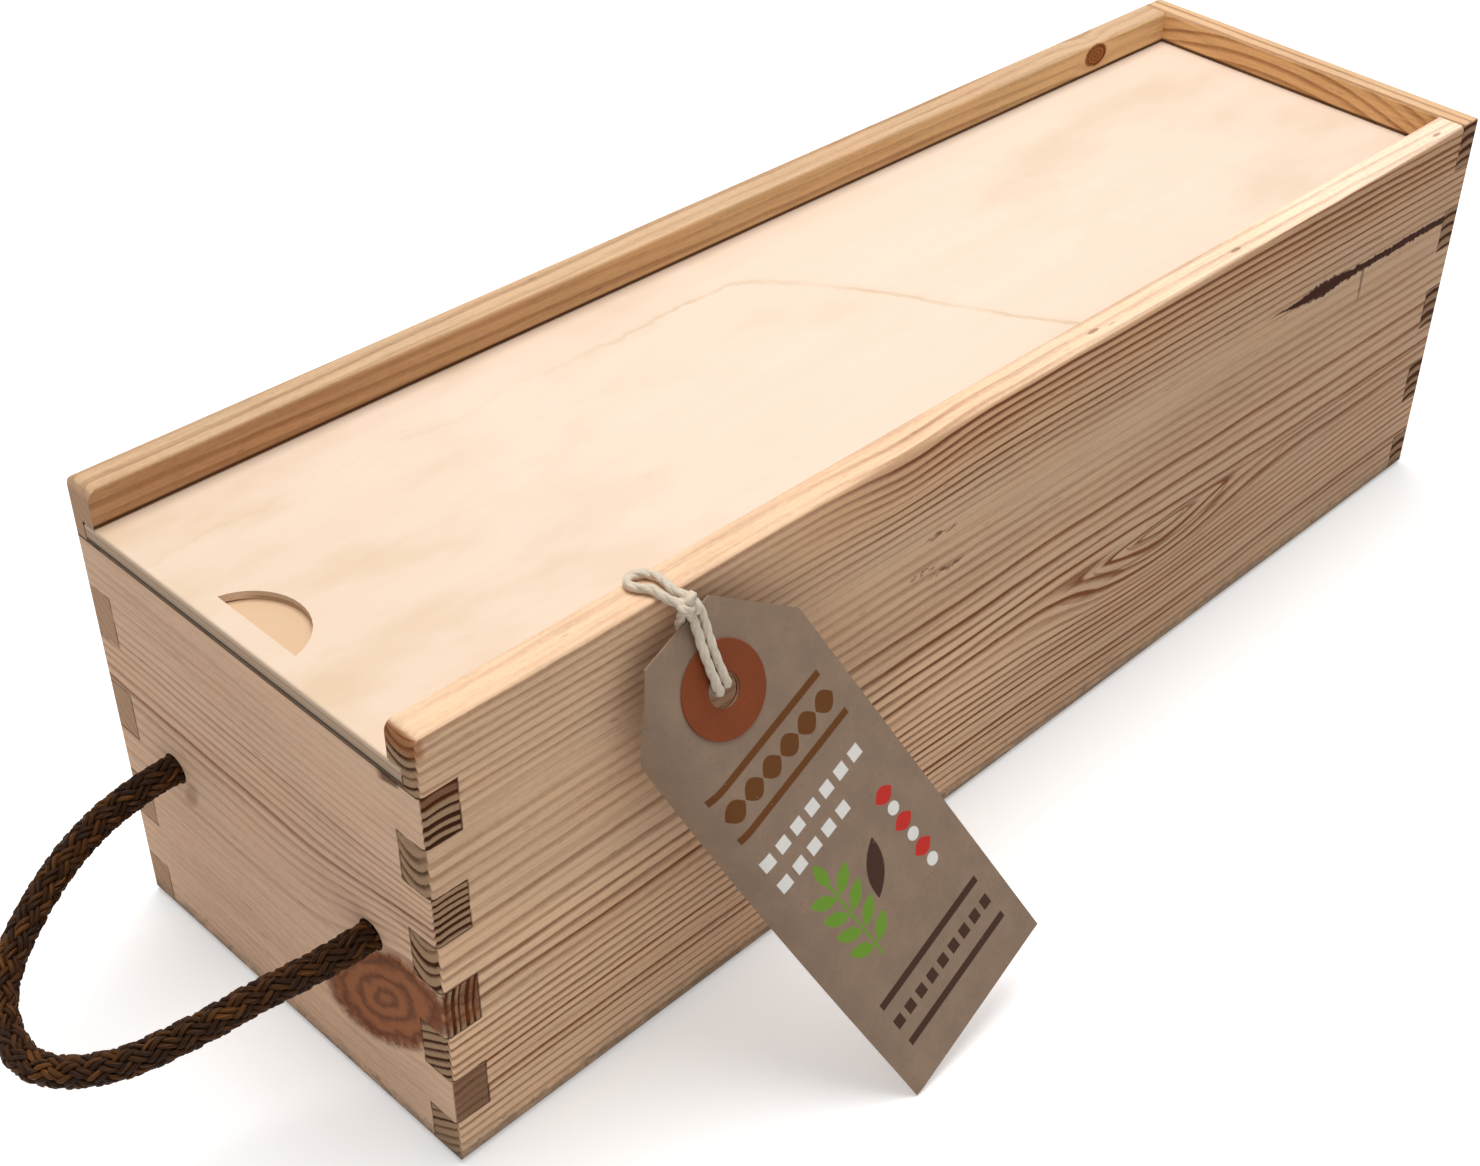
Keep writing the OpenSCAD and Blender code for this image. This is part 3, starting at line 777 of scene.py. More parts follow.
def card_material():
    """Kraft card with a generic print: rules, dashes, lozenges, dots, a leaf and a sprig."""
    tag = settings("tag")
    material, tree, place, _ = new_material("Kraft card")
    base, fibres = card_surface(place, tag.kraft)
    uv = add_node(tree, "ShaderNodeUVMap", uv_map="Card")
    across, up, _ = parts_of(Wire(tree, uv.outputs[0]))
    across, up = across / MM, up / MM
    worn = noise((across * 0.8, up * 0.8, 0.0), 3, 0.7).step(0.18, 0.36)
    printed = attribute(tree, "printed")

    def between(value, low, high):
        return (value.step(low - INK_EDGE, low + INK_EDGE)
                * value.step(high + INK_EDGE, high - INK_EDGE))

    def bar(x0, x1, y0, y1):
        return between(across, x0, x1) * between(up, y0, y1)

    def leaf(x, y, long, wide, turn):
        u, v = turned(across - x, up - y, turn)
        taper = 1 - (u / long).square()
        return (v.abs() - taper * wide).step(0.15, -0.15) * taper.step(0.0, 0.05)

    def dot(x, y, radius):
        reach = ((across - x).square() + (up - y).square()).root()
        return (reach - radius).step(INK_EDGE, -INK_EDGE)

    def dashes(x0, x1, y0, y1, pitch):
        return bar(x0, x1, y0, y1) * ((across - x0) / pitch).fract().step(0.66, 0.60)

    def laid(marks, ink):
        nonlocal base
        share = marks[0]
        for mark in marks[1:]:
            share = share.most(mark)
        base = mix(share * worn * printed * 0.95, base, tuple(ink))

    lozenges = [leaf(9.2 + step * 5.6, 80, 2.7, 2.5, 0) for step in range(6)]
    laid([bar(6, 40, 84.6, 86.2), bar(6, 40, 73.8, 75.4)] + lozenges, tag.brown_ink)
    laid([dashes(6, 38.2, 65.2, 68, 4.7), dashes(6, 28.8, 59, 61.8, 4.7)]
         + [dot(35, 50.5 - step * 8, 1.5) for step in range(3)], tag.pale_ink)
    laid([leaf(35, 54.5 - step * 8, 2.6, 1.9, 0) for step in range(3)], tag.red_ink)
    laid([leaf(24, 45, 6.5, 2.3, 58)], tag.dark_ink)
    stem = bar(13.6, 14.2, 30, 54)
    leaves = [leaf(14 + side * 3.2, 35 + step * 5, 3.4, 1.5, side * 38)
              for step in range(4) for side in (-1, 1)]
    laid([stem, leaf(14, 54.5, 3.4, 1.3, 90)] + leaves, tag.leaf_ink)
    laid([bar(6, 40, 21, 22.8), dashes(6, 39.6, 14.6, 17.4, 3.9), bar(6, 40, 9.2, 11)],
         tag.dark_ink)
    return finished(material, base, 0.82, fibres, relief=0.06 * MM)


def fibre_material():
    material, _, place, _ = new_material("Ring fibre")
    base, fibres = card_surface(place, settings("tag").fibre)
    return finished(material, base, 0.66, fibres, relief=0.05 * MM)


# ---- mesh helpers ------------------------------------------------------------


def paint(mesh, material):
    mesh.materials.clear()
    mesh.materials.append(material)


def dress(node, material):
    paint(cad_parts[node].data, material)


def new_object(name, data, material=None):
    piece = bpy.data.objects.new(name, data)
    bpy.context.scene.collection.objects.link(piece)
    if material:
        paint(data, material)
    return piece


def mesh_from(name, shape):
    """The mesh made of a bmesh, which is then freed."""
    mesh = bpy.data.meshes.new(name)
    shape.to_mesh(mesh)
    shape.free()
    return mesh


def route_length(route):
    return sum((q - p).length for p, q in zip(route, route[1:]))


def smooth_route(points, step):
    """Points a step apart along the smooth curve through the given ones."""
    ends = [points[0] * 2 - points[1]] + points + [points[-1] * 2 - points[-2]]
    fine = []
    for a, b, c, d in zip(ends, ends[1:], ends[2:], ends[3:]):
        pieces = max(2, round((c - b).length / (step / 4)))
        for i in range(pieces):
            t = i / pieces
            fine.append(0.5 * (2 * b + (c - a) * t + (2 * a - 5 * b + 4 * c - d) * t * t
                               + (3 * b - a - 3 * c + d) * t * t * t))
    fine.append(points[-1])
    total = route_length(fine)
    count = max(2, round(total / step))
    wanted, gone, route = 1, 0.0, [fine[0]]
    for p, q in zip(fine, fine[1:]):
        part = (q - p).length
        while wanted < count and gone + part >= wanted * total / count:
            route.append(p.lerp(q, (wanted * total / count - gone) / part))
            wanted += 1
        gone += part
    return route + [fine[-1]]


def cord_tree(name, both_ways):
    """Geometry nodes that lay yarns round a curve: a braid both ways, or a one-way twist."""
    inputs = {
        "Geometry": ("Geometry", None),
        "Strands": ("Int", 4),
        "Yarns": ("Int", 3),
        "Lay length": ("Float", 28 * MM),
        "Middle radius": ("Float", 2.15 * MM),
        "Weave depth": ("Float", 0.55 * MM),
        "Yarn radius": ("Float", 0.58 * MM),
        "Yarn spacing": ("Float", math.radians(27)),
        "Core radius": ("Float", 1.7 * MM),
        "Seed": ("Int", 7),
        "Material": ("Material", None),
    }
    tree, at, out = group_tree(name, inputs, {"Geometry": ("Geometry", None)}, "GeometryNodeTree")
    ways = 2 if both_ways else 1

    def add(kind, inputs=(), **traits):
        return add_node(tree, kind, inputs, **traits).outputs

    copies = add("GeometryNodeDuplicateElements",
                 {"Geometry": at["Geometry"], "Amount": at["Strands"] * at["Yarns"] * ways},
                 domain="SPLINE")
    index = Wire(tree, copies["Duplicate Index"])
    way = (index / 2).fract() * 4 - 1 if both_ways else index * 0 + 1
    rank = (index / ways).floor()
    yarn = rank.math("MODULO", at["Yarns"])
    strand = (rank / at["Yarns"]).floor()

    along = Wire(tree, add("GeometryNodeSplineParameter")["Length"])
    turn = along / at["Lay length"] * (2 * math.pi)
    aside = (yarn - (at["Yarns"] - 1) / 2) * at["Yarn spacing"]
    angle = turn * way + strand / at["Strands"] * (2 * math.pi) + aside
    phase = turn * at["Strands"] + way * aside * at["Strands"] / 2
    weave = (phase.cos() * 1.5).least(1.0).most(-1.0) * way
    stray = noise((along * 160, index * 3.7 + at["Seed"], 0.0), 2, 0.5) - 0.5
    radius = at["Middle radius"] + weave * at["Weave depth"] + stray * at["Yarn radius"] * 0.5

    def vector(operation, inputs):
        return add("ShaderNodeVectorMath", inputs, operation=operation)[0]

    side, tangent = add("GeometryNodeInputNormal")[0], add("GeometryNodeInputTangent")[0]
    other = vector("CROSS_PRODUCT", {0: tangent, 1: side})
    aside = vector("SCALE", {0: side, "Scale": radius * angle.cos()})
    about = vector("SCALE", {0: other, "Scale": radius * angle.sin()})
    shift = vector("ADD", {0: aside, 1: about})

    def stored(geometry, label, value):
        return add("GeometryNodeStoreNamedAttribute",
                   {"Geometry": geometry, "Name": label, "Value": value},
                   data_type="FLOAT", domain="POINT")["Geometry"]

    def tube(geometry, thickness, sides):
        circle = add("GeometryNodeCurvePrimitiveCircle", {"Resolution": sides, "Radius": thickness})
        profile = stored(circle["Curve"], "around", add("GeometryNodeSplineParameter")["Factor"])
        return add("GeometryNodeCurveToMesh", {
            "Curve": geometry, "Profile Curve": profile, "Fill Caps": True})["Mesh"]

    marked = stored(stored(copies["Geometry"], "yarn", index), "along", along)
    yarns = add("GeometryNodeSetPosition", {"Geometry": marked, "Offset": shift})["Geometry"]
    core = stored(at["Geometry"], "yarn", index * 0 + 99)
    join = tree.nodes.new("GeometryNodeJoinGeometry")
    tree.links.new(tube(yarns, at["Yarn radius"], 6), join.inputs[0])
    tree.links.new(tube(core, at["Core radius"], 8), join.inputs[0])
    whole = add("GeometryNodeRealizeInstances", {0: join.outputs[0]})[0]
    painted = add("GeometryNodeSetMaterial", {"Geometry": whole, "Material": at["Material"]})[0]
    tree.links.new(painted, out.inputs[0])
    return tree


def cord_along(route, tree, name, values):
    """The plain mesh that a node tree lays along a route, with its inputs set."""
    curve = bpy.data.curves.new(name, "CURVE")
    curve.dimensions = "3D"
    spline = curve.splines.new("POLY")
    spline.points.add(len(route) - 1)
    for point, place in zip(spline.points, route):
        point.co = (*place, 1)
    guide = new_object(name + "_guide", curve)
    modifier = guide.modifiers.new(name, "NODES")
    modifier.node_group = tree
    keys = {s.name: s.identifier for s in tree.interface.items_tree if s.in_out == "INPUT"}
    for label, value in values.items():
        modifier[keys[label]] = value
    bpy.context.view_layer.update()
    evaluated = guide.evaluated_get(bpy.context.evaluated_depsgraph_get())
    mesh = bpy.data.meshes.new_from_object(evaluated)
    mesh.name = name
    bpy.data.objects.remove(guide)
    for polygon in mesh.polygons:
        polygon.use_smooth = True
    return new_object(name, mesh)


# ---- rope --------------------------------------------------------------------

# The handle's loop in its own plane, in mm: across the box, then outwards. The
# loop slopes down from level by ROPE_DROOP.
ROPE_DROOP = math.radians(20)
SWING_GAP = 0.3 * MM
ROPE_STEP = 0.9 * MM

# A rope knot: the points along it, its rise with each turn in rope diameters,
# where it starts, the share of it that tucks in at each end, and how far in.
KNOT_STEPS = 30
KNOT_RISE = 0.92
KNOT_START = 0.6
KNOT_TUCK = 1 / 8
KNOT_CORE = 0.45
ROPE_LOOP_ROUTE = [
    (-32, 0), (-33.5, 7), (-34, 14), (-33, 22), (-30.5, 30), (-27, 37.5),
    (-22.5, 44.5), (-16.5, 50), (-9, 53), (-1.5, 53.5), (5, 51), (11, 46),
    (15.5, 40), (19, 33), (22, 26), (24.5, 19), (27.5, 12), (30, 6), (32, 0),
]


def rope_values():
    rope = settings("rope")
    return {
        "Strands": rope.strands, "Yarns": rope.yarns, "Lay length": rope.lay,
        "Yarn radius": 0.54 * MM, "Yarn spacing": math.radians(26),
        "Material": rope_material(),
    }


def rope_route():
    """From the tail behind the left hole, round the handle, to the tail behind the right one."""
    hinge = FRONT_FACE - ROPE_DIAMETER / 2 - SWING_GAP
    loop = [Vector((x * MM, hinge - out * MM * math.cos(ROPE_DROOP),
                    ROPE_Z - out * MM * math.sin(ROPE_DROOP)))
            for x, out in ROPE_LOOP_ROUTE]
    inside = FRONT_FACE + BOARD
    tail = settings("rope").tail
    lead = [inside + tail, inside + tail / 2, inside, inside - BOARD / 2]
    left = [Vector((-ROPE_X, y, ROPE_Z)) for y in lead]
    right = [Vector((ROPE_X, y, ROPE_Z)) for y in reversed(lead)]
    return smooth_route(left + loop + right, ROPE_STEP)


def knot_route(side):
    """Two turns of the rope round itself behind the board, with both ends tucked in."""
    rope = settings("rope")
    start = FRONT_FACE + BOARD + ROPE_DIAMETER / 2
    rise = KNOT_RISE * ROPE_DIAMETER
    ring = (KNOT_HIGH[0] - KNOT_LOW[0] - ROPE_DIAMETER) / 2 + 0.5 * MM
    points = []
    for i in range(KNOT_STEPS + 1):
        share = i / KNOT_STEPS
        angle = side * (share * rope.turns * 2 * math.pi + KNOT_START)
        tuck = min(1, share / KNOT_TUCK, (1 - share) / KNOT_TUCK)
        radius = ring * (KNOT_CORE + (1 - KNOT_CORE) * math.sin(tuck * math.pi / 2))
        points.append(Vector((
            side * ROPE_X + radius * math.cos(angle),
            start + rise * (rope.turns - 1) * share,
            ROPE_Z + radius * math.sin(angle),
        )))
    return smooth_route(points, ROPE_STEP)


class WINEBOX_OT_rope(bpy.types.Operator):
    """Makes the braided rope handle and the knots that hold it"""

    bl_idname = "winebox.rope"
    bl_label = "Rope handle"

    def execute(self, context):
        tree = cord_tree("Braid", both_ways=True)
        values = rope_values()
        for side, name in ((-1, "left"), (1, "right")):
            knot = cord_along(knot_route(side), tree, "rope_turns_" + name, values)
            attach(knot, "box")
            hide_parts("rope_knot_" + name)
        route = rope_route()
        rope = cord_along(route, tree, "rope_handle", values)
        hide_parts("rope_loop", "rope_end_left", "rope_end_right")
        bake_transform(rope)
        return {"FINISHED"}


# ---- tag and string ----------------------------------------------------------

# Where the tag leans: its standing corner, and its turns about its own axes.
TAG_SETBACK = 75 * MM
TAG_RISE = math.radians(20)
TAG_TURN = math.radians(96)
TAG_LEAN_GAP = 2.6 * MM
TAG_LEAN_DROP = 2.9 * MM
TAG_STAND_GAP = 0.2 * MM

# The line from which the card's left edge rolls back: where it leaves the
# edge, up from the tag's foot, and its turn from the tag's length.
ROLL_START = -18.4 * MM
ROLL_TURN = math.radians(5.6)

# The net of points that the card is made of: its pitch, the points round the
# hole and round the rings' rim, and how far it keeps from the cut corners and
# from that rim. The angle past which its edges are creases. The points round a
# fibre ring, and how much of its thickness its rounded edges take.
CARD_PITCH = 1.25 * MM
HOLE_STEPS = 40
COLLAR_STEPS = 48
CORNER_MARGIN = 1.08
COLLAR_MARGIN = 0.7 * MM
CARD_CREASE = math.radians(40)
RING_STEPS = 64
RING_SOFT = 0.35

# The string's knot: its size, where it sits past the tag's middle and its upper
# edge and out of its face, how far the loop and the strands reach into it, and
# the points along it and its shape, as shares of its size.
KNOT_SIZE = 5.2 * MM
KNOT_ASIDE = 4.5 * MM
KNOT_CLEAR = 0.3 * MM
KNOT_OUT = 2.2 * MM
LOOP_INSET = 0.3 * MM
STRAND_INSET = 0.6 * MM
TREFOIL_STEPS = 72
TREFOIL_WIDTH = 0.115
TREFOIL_DEPTH = 0.17

RIM_LINE = Vector((HALF_WIDTH + 0.6 * MM, 0, BOX_HEIGHT + 0.6 * MM))
RIM_SPREAD = 1.3 * MM
STRING_GAP = 0.05 * MM
STRING_STEP = 0.5 * MM

# The string's loop on the rim's top, in mm: in from the rim's outer edge, and
# along the rim.
STRING_LOOP_ROUTE = [
    (1.7, 1.3), (3.5, 1.6), (5.5, 1.3), (7.2, 0.2), (7.9, -1.7),
    (7.1, -3.5), (5.4, -3.8), (3.4, -2.4), (1.7, -1.5),
]


class TagPlace:
    """Where the flat tag stands, and how its card curls away from that plane."""

    def __init__(self):
        tag = settings("tag")
        touch = tag.width - tag.corner_width
        reach = BOX_HEIGHT - TAG_LEAN_DROP - TAG_STAND_GAP - touch * math.sin(TAG_RISE)
        lean = math.asin(reach / (tag.height * math.cos(TAG_RISE)))
        self.turn = Euler((lean, -TAG_RISE, TAG_TURN), "XYZ").to_matrix()
        touching = self.turn @ Vector((touch, tag.height, 0))
        self.corner = Vector((
            HALF_WIDTH + TAG_LEAN_GAP - touching.x, TAG_SETBACK + FRONT_FACE, TAG_STAND_GAP))
        self.hole = Vector((tag.width / 2, tag.height - tag.hole_drop))
        self.knot = Vector((
            tag.width / 2 + KNOT_ASIDE, tag.height + KNOT_SIZE / 2 + KNOT_CLEAR, KNOT_OUT))

    def at(self, across, up, out):
        """A place on the flat tag: along its lower edge, up its length and out of its face."""
        return self.corner + self.turn @ Vector((across, up, out))

    def on_card(self, across, up, out):
        """The same place on the card itself, whose left edge is rolled back."""
        radius = settings("tag").roll
        lean = Vector((-math.cos(ROLL_TURN), math.sin(ROLL_TURN)))
        past = (Vector((across, up)) - Vector((0, ROLL_START))).dot(lean)
        if past <= 0:
            return self.at(across, up, out)
        angle = past / radius
        level = radius + out
        flat = Vector((across, up)) + lean * (level * math.sin(angle) - past)
        return self.at(flat.x, flat.y, level * math.cos(angle) - radius)


def card_outline(tag):
    """The tag's outline in its own plane, in steps of about 2 mm."""
    corners = [
        (0, 0), (tag.width, 0), (tag.width, tag.height - tag.corner_height),
        (tag.width - tag.corner_width, tag.height), (tag.corner_width, tag.height),
        (0, tag.height - tag.corner_height),
    ]
    outline = []
    for a, b in zip(corners, corners[1:] + corners[:1]):
        start, end = Vector(a), Vector(b)
        count = max(1, round((end - start).length / (2 * MM)))
        outline += [start.lerp(end, i / count) for i in range(count)]
    return outline


def ring_points(centre, radius, count):
    return [centre + radius * Vector((math.cos(2 * math.pi * i / count),
                                      math.sin(2 * math.pi * i / count))) for i in range(count)]


def card_mesh(place):
    """The tag's card: a fine flat net with its hole, given its thickness and its curl."""
    tag = settings("tag")
    outline = card_outline(tag)
    hole = ring_points(place.hole, tag.hole / 2, HOLE_STEPS)
    collar = ring_points(place.hole, tag.ring / 2, COLLAR_STEPS)
    net = []
    for i in range(1, int(tag.width / CARD_PITCH)):
        for j in range(1, int(tag.height / CARD_PITCH)):
            point = Vector((i * CARD_PITCH, j * CARD_PITCH))
            cut = (tag.height - point.y) / tag.corner_height
            beside = min(point.x, tag.width - point.x) / tag.corner_width
            away = (point - place.hole).length
            if cut + beside > CORNER_MARGIN and away > tag.ring / 2 + COLLAR_MARGIN:
                net.append(point)
    edges = []
    for loop, first in ((outline, 0), (hole, len(outline))):
        edges += [(first + i, first + (i + 1) % len(loop)) for i in range(len(loop))]
    points, _, faces, *_ = delaunay_2d_cdt(outline + hole + collar + net, edges, [], 1, 1e-7)
    faces = [f for f in faces
             if (sum((points[i] for i in f), Vector((0, 0))) / 3 - place.hole).length
             > tag.hole / 2 * 0.999]
    mesh = bmesh.new()
    uv = mesh.loops.layers.uv.new("Card")
    printed = mesh.verts.layers.float.new("printed")
    sheets = []
    for out, mark in ((tag.thickness, 1.0), (0.0, 0.0)):
        sheet = [mesh.verts.new(place.on_card(p.x, p.y, out)) for p in points]
        for vert in sheet:
            vert[printed] = mark
        sheets.append(sheet)
    flat = {vert: point for sheet in sheets for vert, point in zip(sheet, points)}
    for face in faces:
        mesh.faces.new([sheets[0][i] for i in face])
        mesh.faces.new([sheets[1][i] for i in reversed(face)])
    rim = [e for e in mesh.edges if e.is_boundary and e.verts[0][printed] > 0.5]
    index = {vert: i for i, vert in enumerate(sheets[0])}
    for edge in rim:
        loop = edge.link_loops[0]
        a, b = index[loop.vert], index[loop.link_loop_next.vert]
        mesh.faces.new([sheets[0][b], sheets[0][a], sheets[1][a], sheets[1][b]])
    for face in mesh.faces:
        face.smooth = True
        for loop in face.loops:
            loop[uv].uv = flat[loop.vert]
    bmesh.ops.delete(mesh, geom=[v for v in mesh.verts if not v.link_faces], context="VERTS")
    card = mesh_from("tag_card", mesh)
    card.set_sharp_from_angle(angle=CARD_CREASE)
    return card


def fibre_ring_mesh(name, place, low, high):
    """A flat ring with rounded edges round the tag's hole, between two levels of the tag."""
    tag = settings("tag")
    inner, outer = tag.hole / 2, tag.ring / 2
    soft = (high - low) * RING_SOFT
    section = [
        (inner, low), (outer - soft, low), (outer, low + soft), (outer, high - soft),
        (outer - soft, high), (inner + soft, high), (inner, high - soft),
    ]
    mesh = bmesh.new()
    rings = []
    for around in ring_points(Vector((0, 0)), 1, RING_STEPS):
        rings.append([mesh.verts.new(place.at(*(place.hole + around * r), level))
                      for r, level in section])
    for a, b in zip(rings, rings[1:] + rings[:1]):
        for k in range(len(section)):
            n = (k + 1) % len(section)
            mesh.faces.new([a[k], b[k], b[n], a[n]])
    bmesh.ops.recalc_face_normals(mesh, faces=mesh.faces)
    return mesh_from(name, mesh)


class WINEBOX_OT_tag(bpy.types.Operator):
    """Makes the card tag and its two fibre rings"""

    bl_idname = "winebox.tag"
    bl_label = "Card tag"

    def execute(self, context):
        tag = settings("tag")
        place = TagPlace()
        card = new_object("tag_card", card_mesh(place), card_material())
        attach(card, "tag")
        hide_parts("hang_tag")
        fibre = fibre_material()
        for name, low, high in (
            ("tag_ring_front", tag.thickness, tag.thickness + tag.ring_thickness),
            ("tag_ring_back", -tag.ring_thickness, 0.0),
        ):
            mesh = fibre_ring_mesh(name + "_fibre", place, low, high)
            ring = new_object(name + "_fibre", mesh, fibre)
            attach(ring, "tag")
            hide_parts(name)
        return {"FINISHED"}


def string_routes(place):
    """The string's lines, over the rim and twice through the tag's hole, and its knot's place."""
    tag, string = settings("tag"), settings("string")
    radius = string.diameter / 2
    shift = radius + 0.1 * MM
    knot = place.at(*place.knot)
    cross_y = knot.y - 2 * MM
    over = [Vector((RIM_LINE.x - x * MM, cross_y + y * MM, BOX_HEIGHT + radius + STRING_GAP))
            for x, y in STRING_LOOP_ROUTE]
    front = tag.thickness + tag.ring_thickness + radius + STRING_GAP
    back = -tag.ring_thickness - radius - STRING_GAP
    middle = (place.knot.y + place.hole.y) / 2

    def strand(side):
        knot_x, hole_x = place.knot.x + side * shift, place.hole.x + side * shift
        return [place.at(*point) for point in (
            (knot_x, place.knot.y - KNOT_SIZE / 2 + STRAND_INSET, place.knot.z),
            (knot_x, place.knot.y - KNOT_SIZE / 2 - 0.45 * MM, front),
            (hole_x + 2 * MM, middle, front),
            (hole_x, place.hole.y + 2.6 * MM, front),
            (hole_x, place.hole.y + 0.6 * MM, front - 1.1 * MM),
            (hole_x, place.hole.y + 0.6 * MM, back + 1.1 * MM),
            (hole_x, place.hole.y + 2.6 * MM, back),
            (hole_x + 1.2 * MM, middle, back),
            (knot_x - 1.6 * MM, tag.height - 1 * MM, back),
            (knot_x - 0.6 * MM, place.knot.y - 0.6 * KNOT_SIZE / 2, 0.2 * MM),
            (knot_x - 0.2 * MM, place.knot.y - 0.2 * KNOT_SIZE / 2, 1.4 * MM),
        )]

    def through_knot(side):
        across = place.knot.x + side * shift
        low = place.at(across, place.knot.y - KNOT_SIZE / 2 + LOOP_INSET, place.knot.z)
        return [low, place.at(across, place.knot.y + 0.5 * MM, place.knot.z)]

    first, last = (Vector((RIM_LINE.x, cross_y + side * RIM_SPREAD, RIM_LINE.z))
                   for side in (1, -1))
    loop = through_knot(1) + [first] + over + [last] + through_knot(-1)[::-1]
    strands = [smooth_route(strand(side), STRING_STEP) for side in (1, -1)]
    return smooth_route(loop, STRING_STEP), strands, knot


def knot_curve(centre, size, turn):
    """A small pulled-up knot: a trefoil drawn tight."""
    points = []
    for i in range(TREFOIL_STEPS + 1):
        t = 2 * math.pi * i / TREFOIL_STEPS
        points.append(centre + turn @ Vector((
            (math.sin(t) + 2 * math.sin(2 * t)) * size * TREFOIL_WIDTH,
            (math.cos(t) - 2 * math.cos(2 * t)) * size * TREFOIL_WIDTH,
            -math.sin(3 * t) * size * TREFOIL_DEPTH)))
    return points


class WINEBOX_OT_string(bpy.types.Operator):
    """Makes the cotton string with its loop over the rim, its knot and its strands"""

    bl_idname = "winebox.string"
    bl_label = "Tag string"

    def execute(self, context):
        string = settings("string")
        place = TagPlace()
        tree = cord_tree("Twist", both_ways=False)
        radius = string.diameter / 2
        values = {
            "Strands": string.plies, "Yarns": 1, "Lay length": string.lay,
            "Middle radius": radius * 0.34, "Weave depth": 0.0, "Yarn radius": radius * 0.66,
            "Core radius": radius * 0.3, "Material": string_material(),
        }
        loop, strands, knot = string_routes(place)
        knot_line = knot_curve(knot, KNOT_SIZE, place.turn)
        tied = cord_along(knot_line, tree, "string_tied", values)
        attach(tied, "tag")
        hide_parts("string_knot")
        for label, route in zip(("a", "b"), strands):
            leg = cord_along(route, tree, "string_strand_" + label, values)
            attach(leg, "tag")
        over = cord_along(loop, tree, "string_over_rim", values)
        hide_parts("string_loop", "string_legs")
        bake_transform(over)
        return {"FINISHED"}


# ---- boards ------------------------------------------------------------------

# Knots in the boards, in mm: (along, across), half their width across their
# length, how many times longer they are than wide, and their turn in degrees.
FRONT_KNOTS = [((34, 33.4), 10.5, 2.1, 38)]
LEFT_KNOTS = [((135, 107.6), 2.9, 1.5, 0)]


class WINEBOX_OT_boards(bpy.types.Operator):
    """Gives each pine board its own grain"""

    bl_idname = "winebox.boards"
    bl_label = "Pine boards"

    def execute(self, context):
        groups = {"rings": growth_rings_group(), "joints": joint_lines_group()}
        for node, name, grain, knots, marks in (
            ("right_side", "Pine right side", side_grain, (), side_marks),
            ("left_side", "Pine left side", left_grain, LEFT_KNOTS, left_marks),
            ("front_panel", "Pine front", front_grain, FRONT_KNOTS, front_marks),
            ("back_panel", "Pine back", back_grain, (), back_marks),
        ):
            dress(node, pine_material(name, groups, grain, knots, marks))
        return {"FINISHED"}


class WINEBOX_OT_plywood(bpy.types.Operator):
    """Gives the lid and the bottom their plywood"""

    bl_idname = "winebox.plywood"
    bl_label = "Plywood"

    def execute(self, context):
        dress("sliding_lid", ply_material("Plywood lid", LID_LOW, LID_HIGH, True))
        low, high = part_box("bottom_panel")
        dress("bottom_panel", ply_material("Plywood bottom", low, high, False))
        return {"FINISHED"}


# ---- stage -------------------------------------------------------------------

CAMERA_PLACE = (0.27988, -0.32444, 0.35195)
CAMERA_TURN = (52.88, -3.12, 41.75)
CAMERA_LENS = 52.05
CAMERA_SHIFT = (-0.1184, -0.0164)
SENSOR_WIDTH = 36
NEAR_CLIP = 0.01

FLOOR_HALF = 4.0
FLOOR_GAP = 0.05 * MM
# How the floor whitens with distance from the box: from where to where, in
# metres, how much at first and how much is added.
GLOW_REACH = (0.45, 1.6)
GLOW_NEAR = 0.35
GLOW_FAR = 0.6

LAMP_PLACE = (-0.12, 0.06, 1.3)
LAMP_AIM = (0, 0, 0.1)
LAMP_SIZE = 0.9


def looked_at(tree):
    """1 where the camera, a gloss or a glass looks straight at it."""
    path = tree.nodes.new("ShaderNodeLightPath")
    camera, gloss, glass = (Wire(tree, path.outputs[f"Is {ray} Ray"])
                            for ray in ("Camera", "Glossy", "Transmission"))
    return camera.most(gloss).most(glass)


def white_for_camera(tree, lit, strength):
    """The lit shader, plus white where it is looked at."""
    inputs = {"Color": (1, 1, 1), "Strength": looked_at(tree) * strength}
    glow = add_node(tree, "ShaderNodeEmission", inputs)
    both = add_node(tree, "ShaderNodeAddShader", {0: lit.outputs[0], 1: glow.outputs[0]})
    return both.outputs[0]


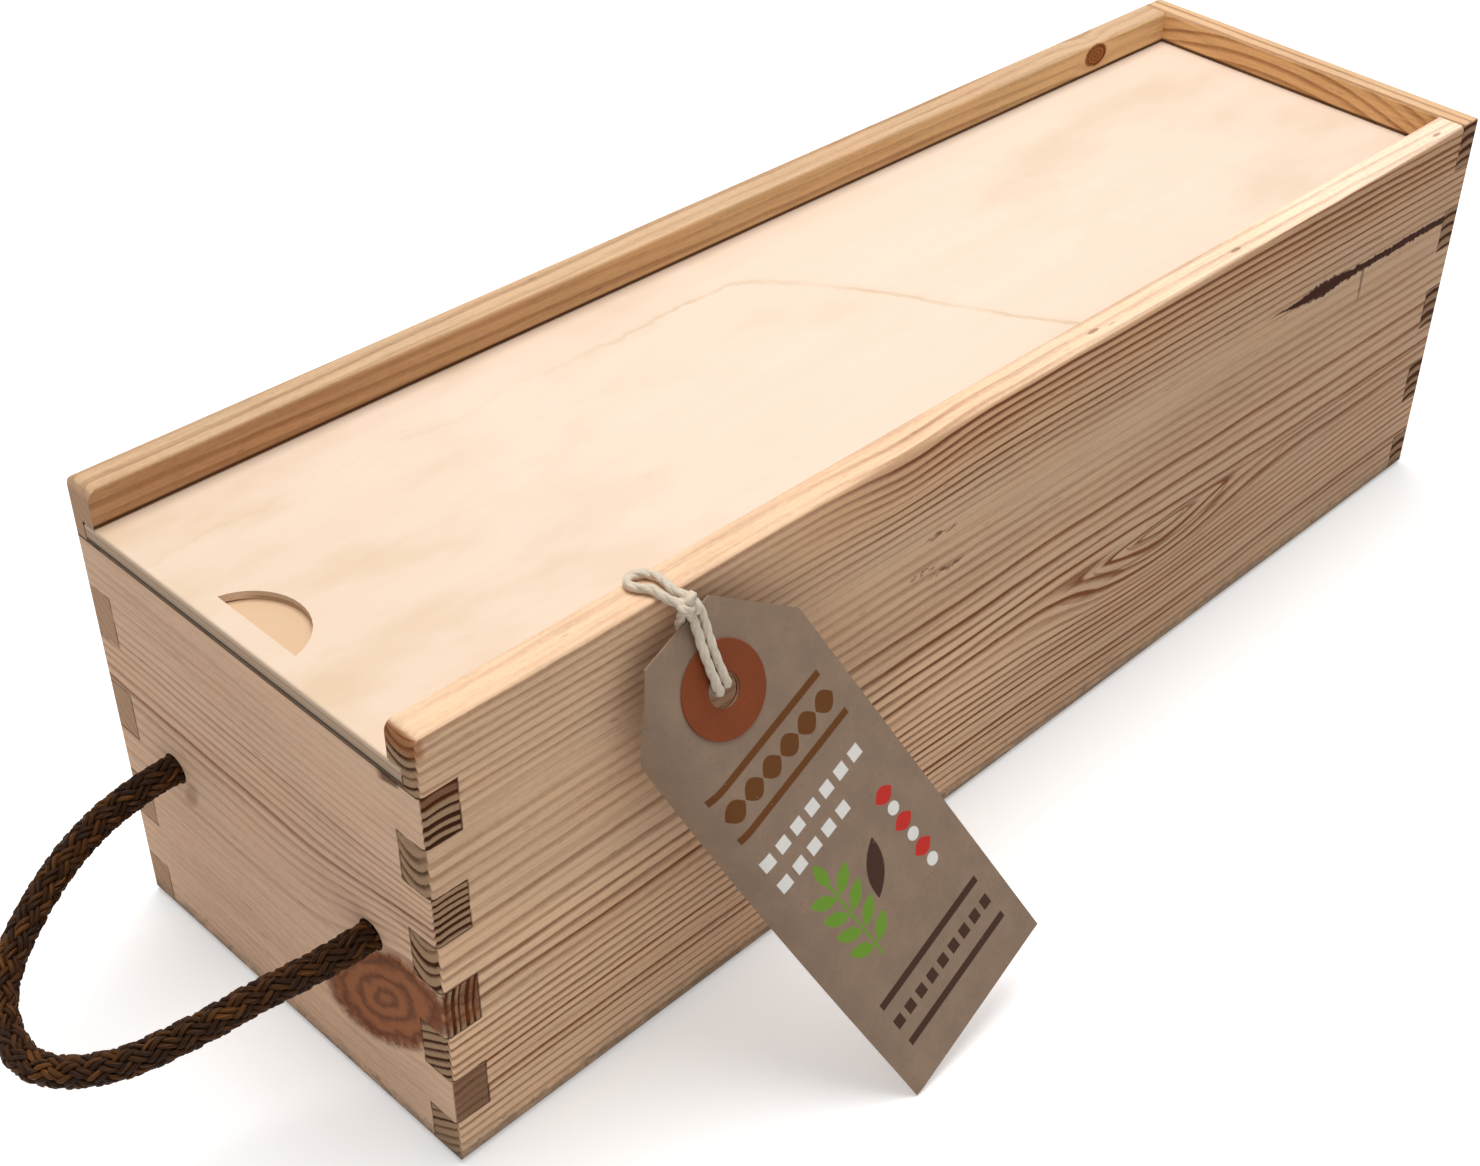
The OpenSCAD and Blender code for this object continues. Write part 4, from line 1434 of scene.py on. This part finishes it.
class WINEBOX_OT_stage(bpy.types.Operator):
    """Sets the floor, the soft light, the white surroundings and the camera"""

    bl_idname = "winebox.stage"
    bl_label = "Stage"

    def execute(self, context):
        stage = settings("stage")
        scene = context.scene
        scene.view_settings.view_transform = "Standard"

        camera = bpy.data.objects.new("Camera", bpy.data.cameras.new("Camera"))
        scene.collection.objects.link(camera)
        camera.location = CAMERA_PLACE
        camera.rotation_euler = [math.radians(a) for a in CAMERA_TURN]
        camera.data.lens = CAMERA_LENS
        camera.data.sensor_width = SENSOR_WIDTH
        camera.data.shift_x, camera.data.shift_y = CAMERA_SHIFT
        camera.data.clip_start = NEAR_CLIP
        scene.camera = camera

        mesh = bpy.data.meshes.new("floor")
        corners = [(-1, -1), (1, -1), (1, 1), (-1, 1)]
        mesh.from_pydata([(x * FLOOR_HALF, y * FLOOR_HALF, 0) for x, y in corners],
                         [], [(0, 1, 2, 3)])
        material = bpy.data.materials.new("Floor")
        material.use_nodes = True
        tree = material.node_tree
        tree.nodes.remove(tree.nodes["Principled BSDF"])
        lit = add_node(tree, "ShaderNodeBsdfDiffuse", {"Color": stage.floor})
        where = tree.nodes.new("ShaderNodeTexCoord").outputs["Object"]
        away = add_node(tree, "ShaderNodeVectorMath", {0: where}, operation="LENGTH")
        glow = Wire(tree, away.outputs["Value"]).step(*GLOW_REACH) * GLOW_FAR + GLOW_NEAR
        surface = tree.nodes["Material Output"].inputs["Surface"]
        feed(tree, white_for_camera(tree, lit, glow), surface)
        floor = new_object("floor", mesh, material)
        floor.location.z = -FLOOR_GAP

        world = bpy.data.worlds.new("Studio")
        world.use_nodes = True
        tree = world.node_tree
        sky = tree.nodes["Background"]
        strength = looked_at(tree) * (1 - stage.fill) + stage.fill
        feed(tree, strength, sky.inputs["Strength"])
        feed(tree, (1, 1, 1), sky.inputs["Color"])
        scene.world = world

        lamp = bpy.data.lights.new("Softbox", "AREA")
        lamp.shape = "DISK"
        lamp.size = LAMP_SIZE
        lamp.energy = stage.softbox
        light = bpy.data.objects.new("Softbox", lamp)
        scene.collection.objects.link(light)
        light.location = LAMP_PLACE
        aim = Vector(LAMP_AIM) - light.location
        light.rotation_euler = aim.to_track_quat("-Z", "Y").to_euler()
        return {"FINISHED"}


class WINEBOX_PT_panel(bpy.types.Panel):
    """Lists what dresses the box"""

    bl_idname = "WINEBOX_PT_panel"
    bl_label = "Wine box"
    bl_space_type = "VIEW_3D"
    bl_region_type = "UI"
    bl_category = "Wine box"

    def draw(self, context):
        for operator in OPERATORS:
            self.layout.operator(operator.bl_idname)


SETTINGS = {
    "pine": PineSettings, "ply": PlySettings, "rope": RopeSettings,
    "string": StringSettings, "tag": TagSettings, "stage": StageSettings,
}
OPERATORS = (
    WINEBOX_OT_stage, WINEBOX_OT_rope, WINEBOX_OT_string, WINEBOX_OT_tag,
    WINEBOX_OT_boards, WINEBOX_OT_plywood,
)


CLASSES = (*SETTINGS.values(), *OPERATORS, WINEBOX_PT_panel)


def register():
    for thing in CLASSES:
        bpy.utils.register_class(thing)
    for name, group in SETTINGS.items():
        setattr(bpy.types.Scene, "wine_box_" + name, PointerProperty(type=group))


def unregister():
    for name in SETTINGS:
        delattr(bpy.types.Scene, "wine_box_" + name)
    for thing in reversed(CLASSES):
        bpy.utils.unregister_class(thing)


def main():
    register()
    bpy.ops.winebox.stage()
    bpy.ops.winebox.rope()
    bpy.ops.winebox.string()
    bpy.ops.winebox.tag()
    bpy.ops.winebox.boards()
    bpy.ops.winebox.plywood()


if __name__ == "__main__":
    main()
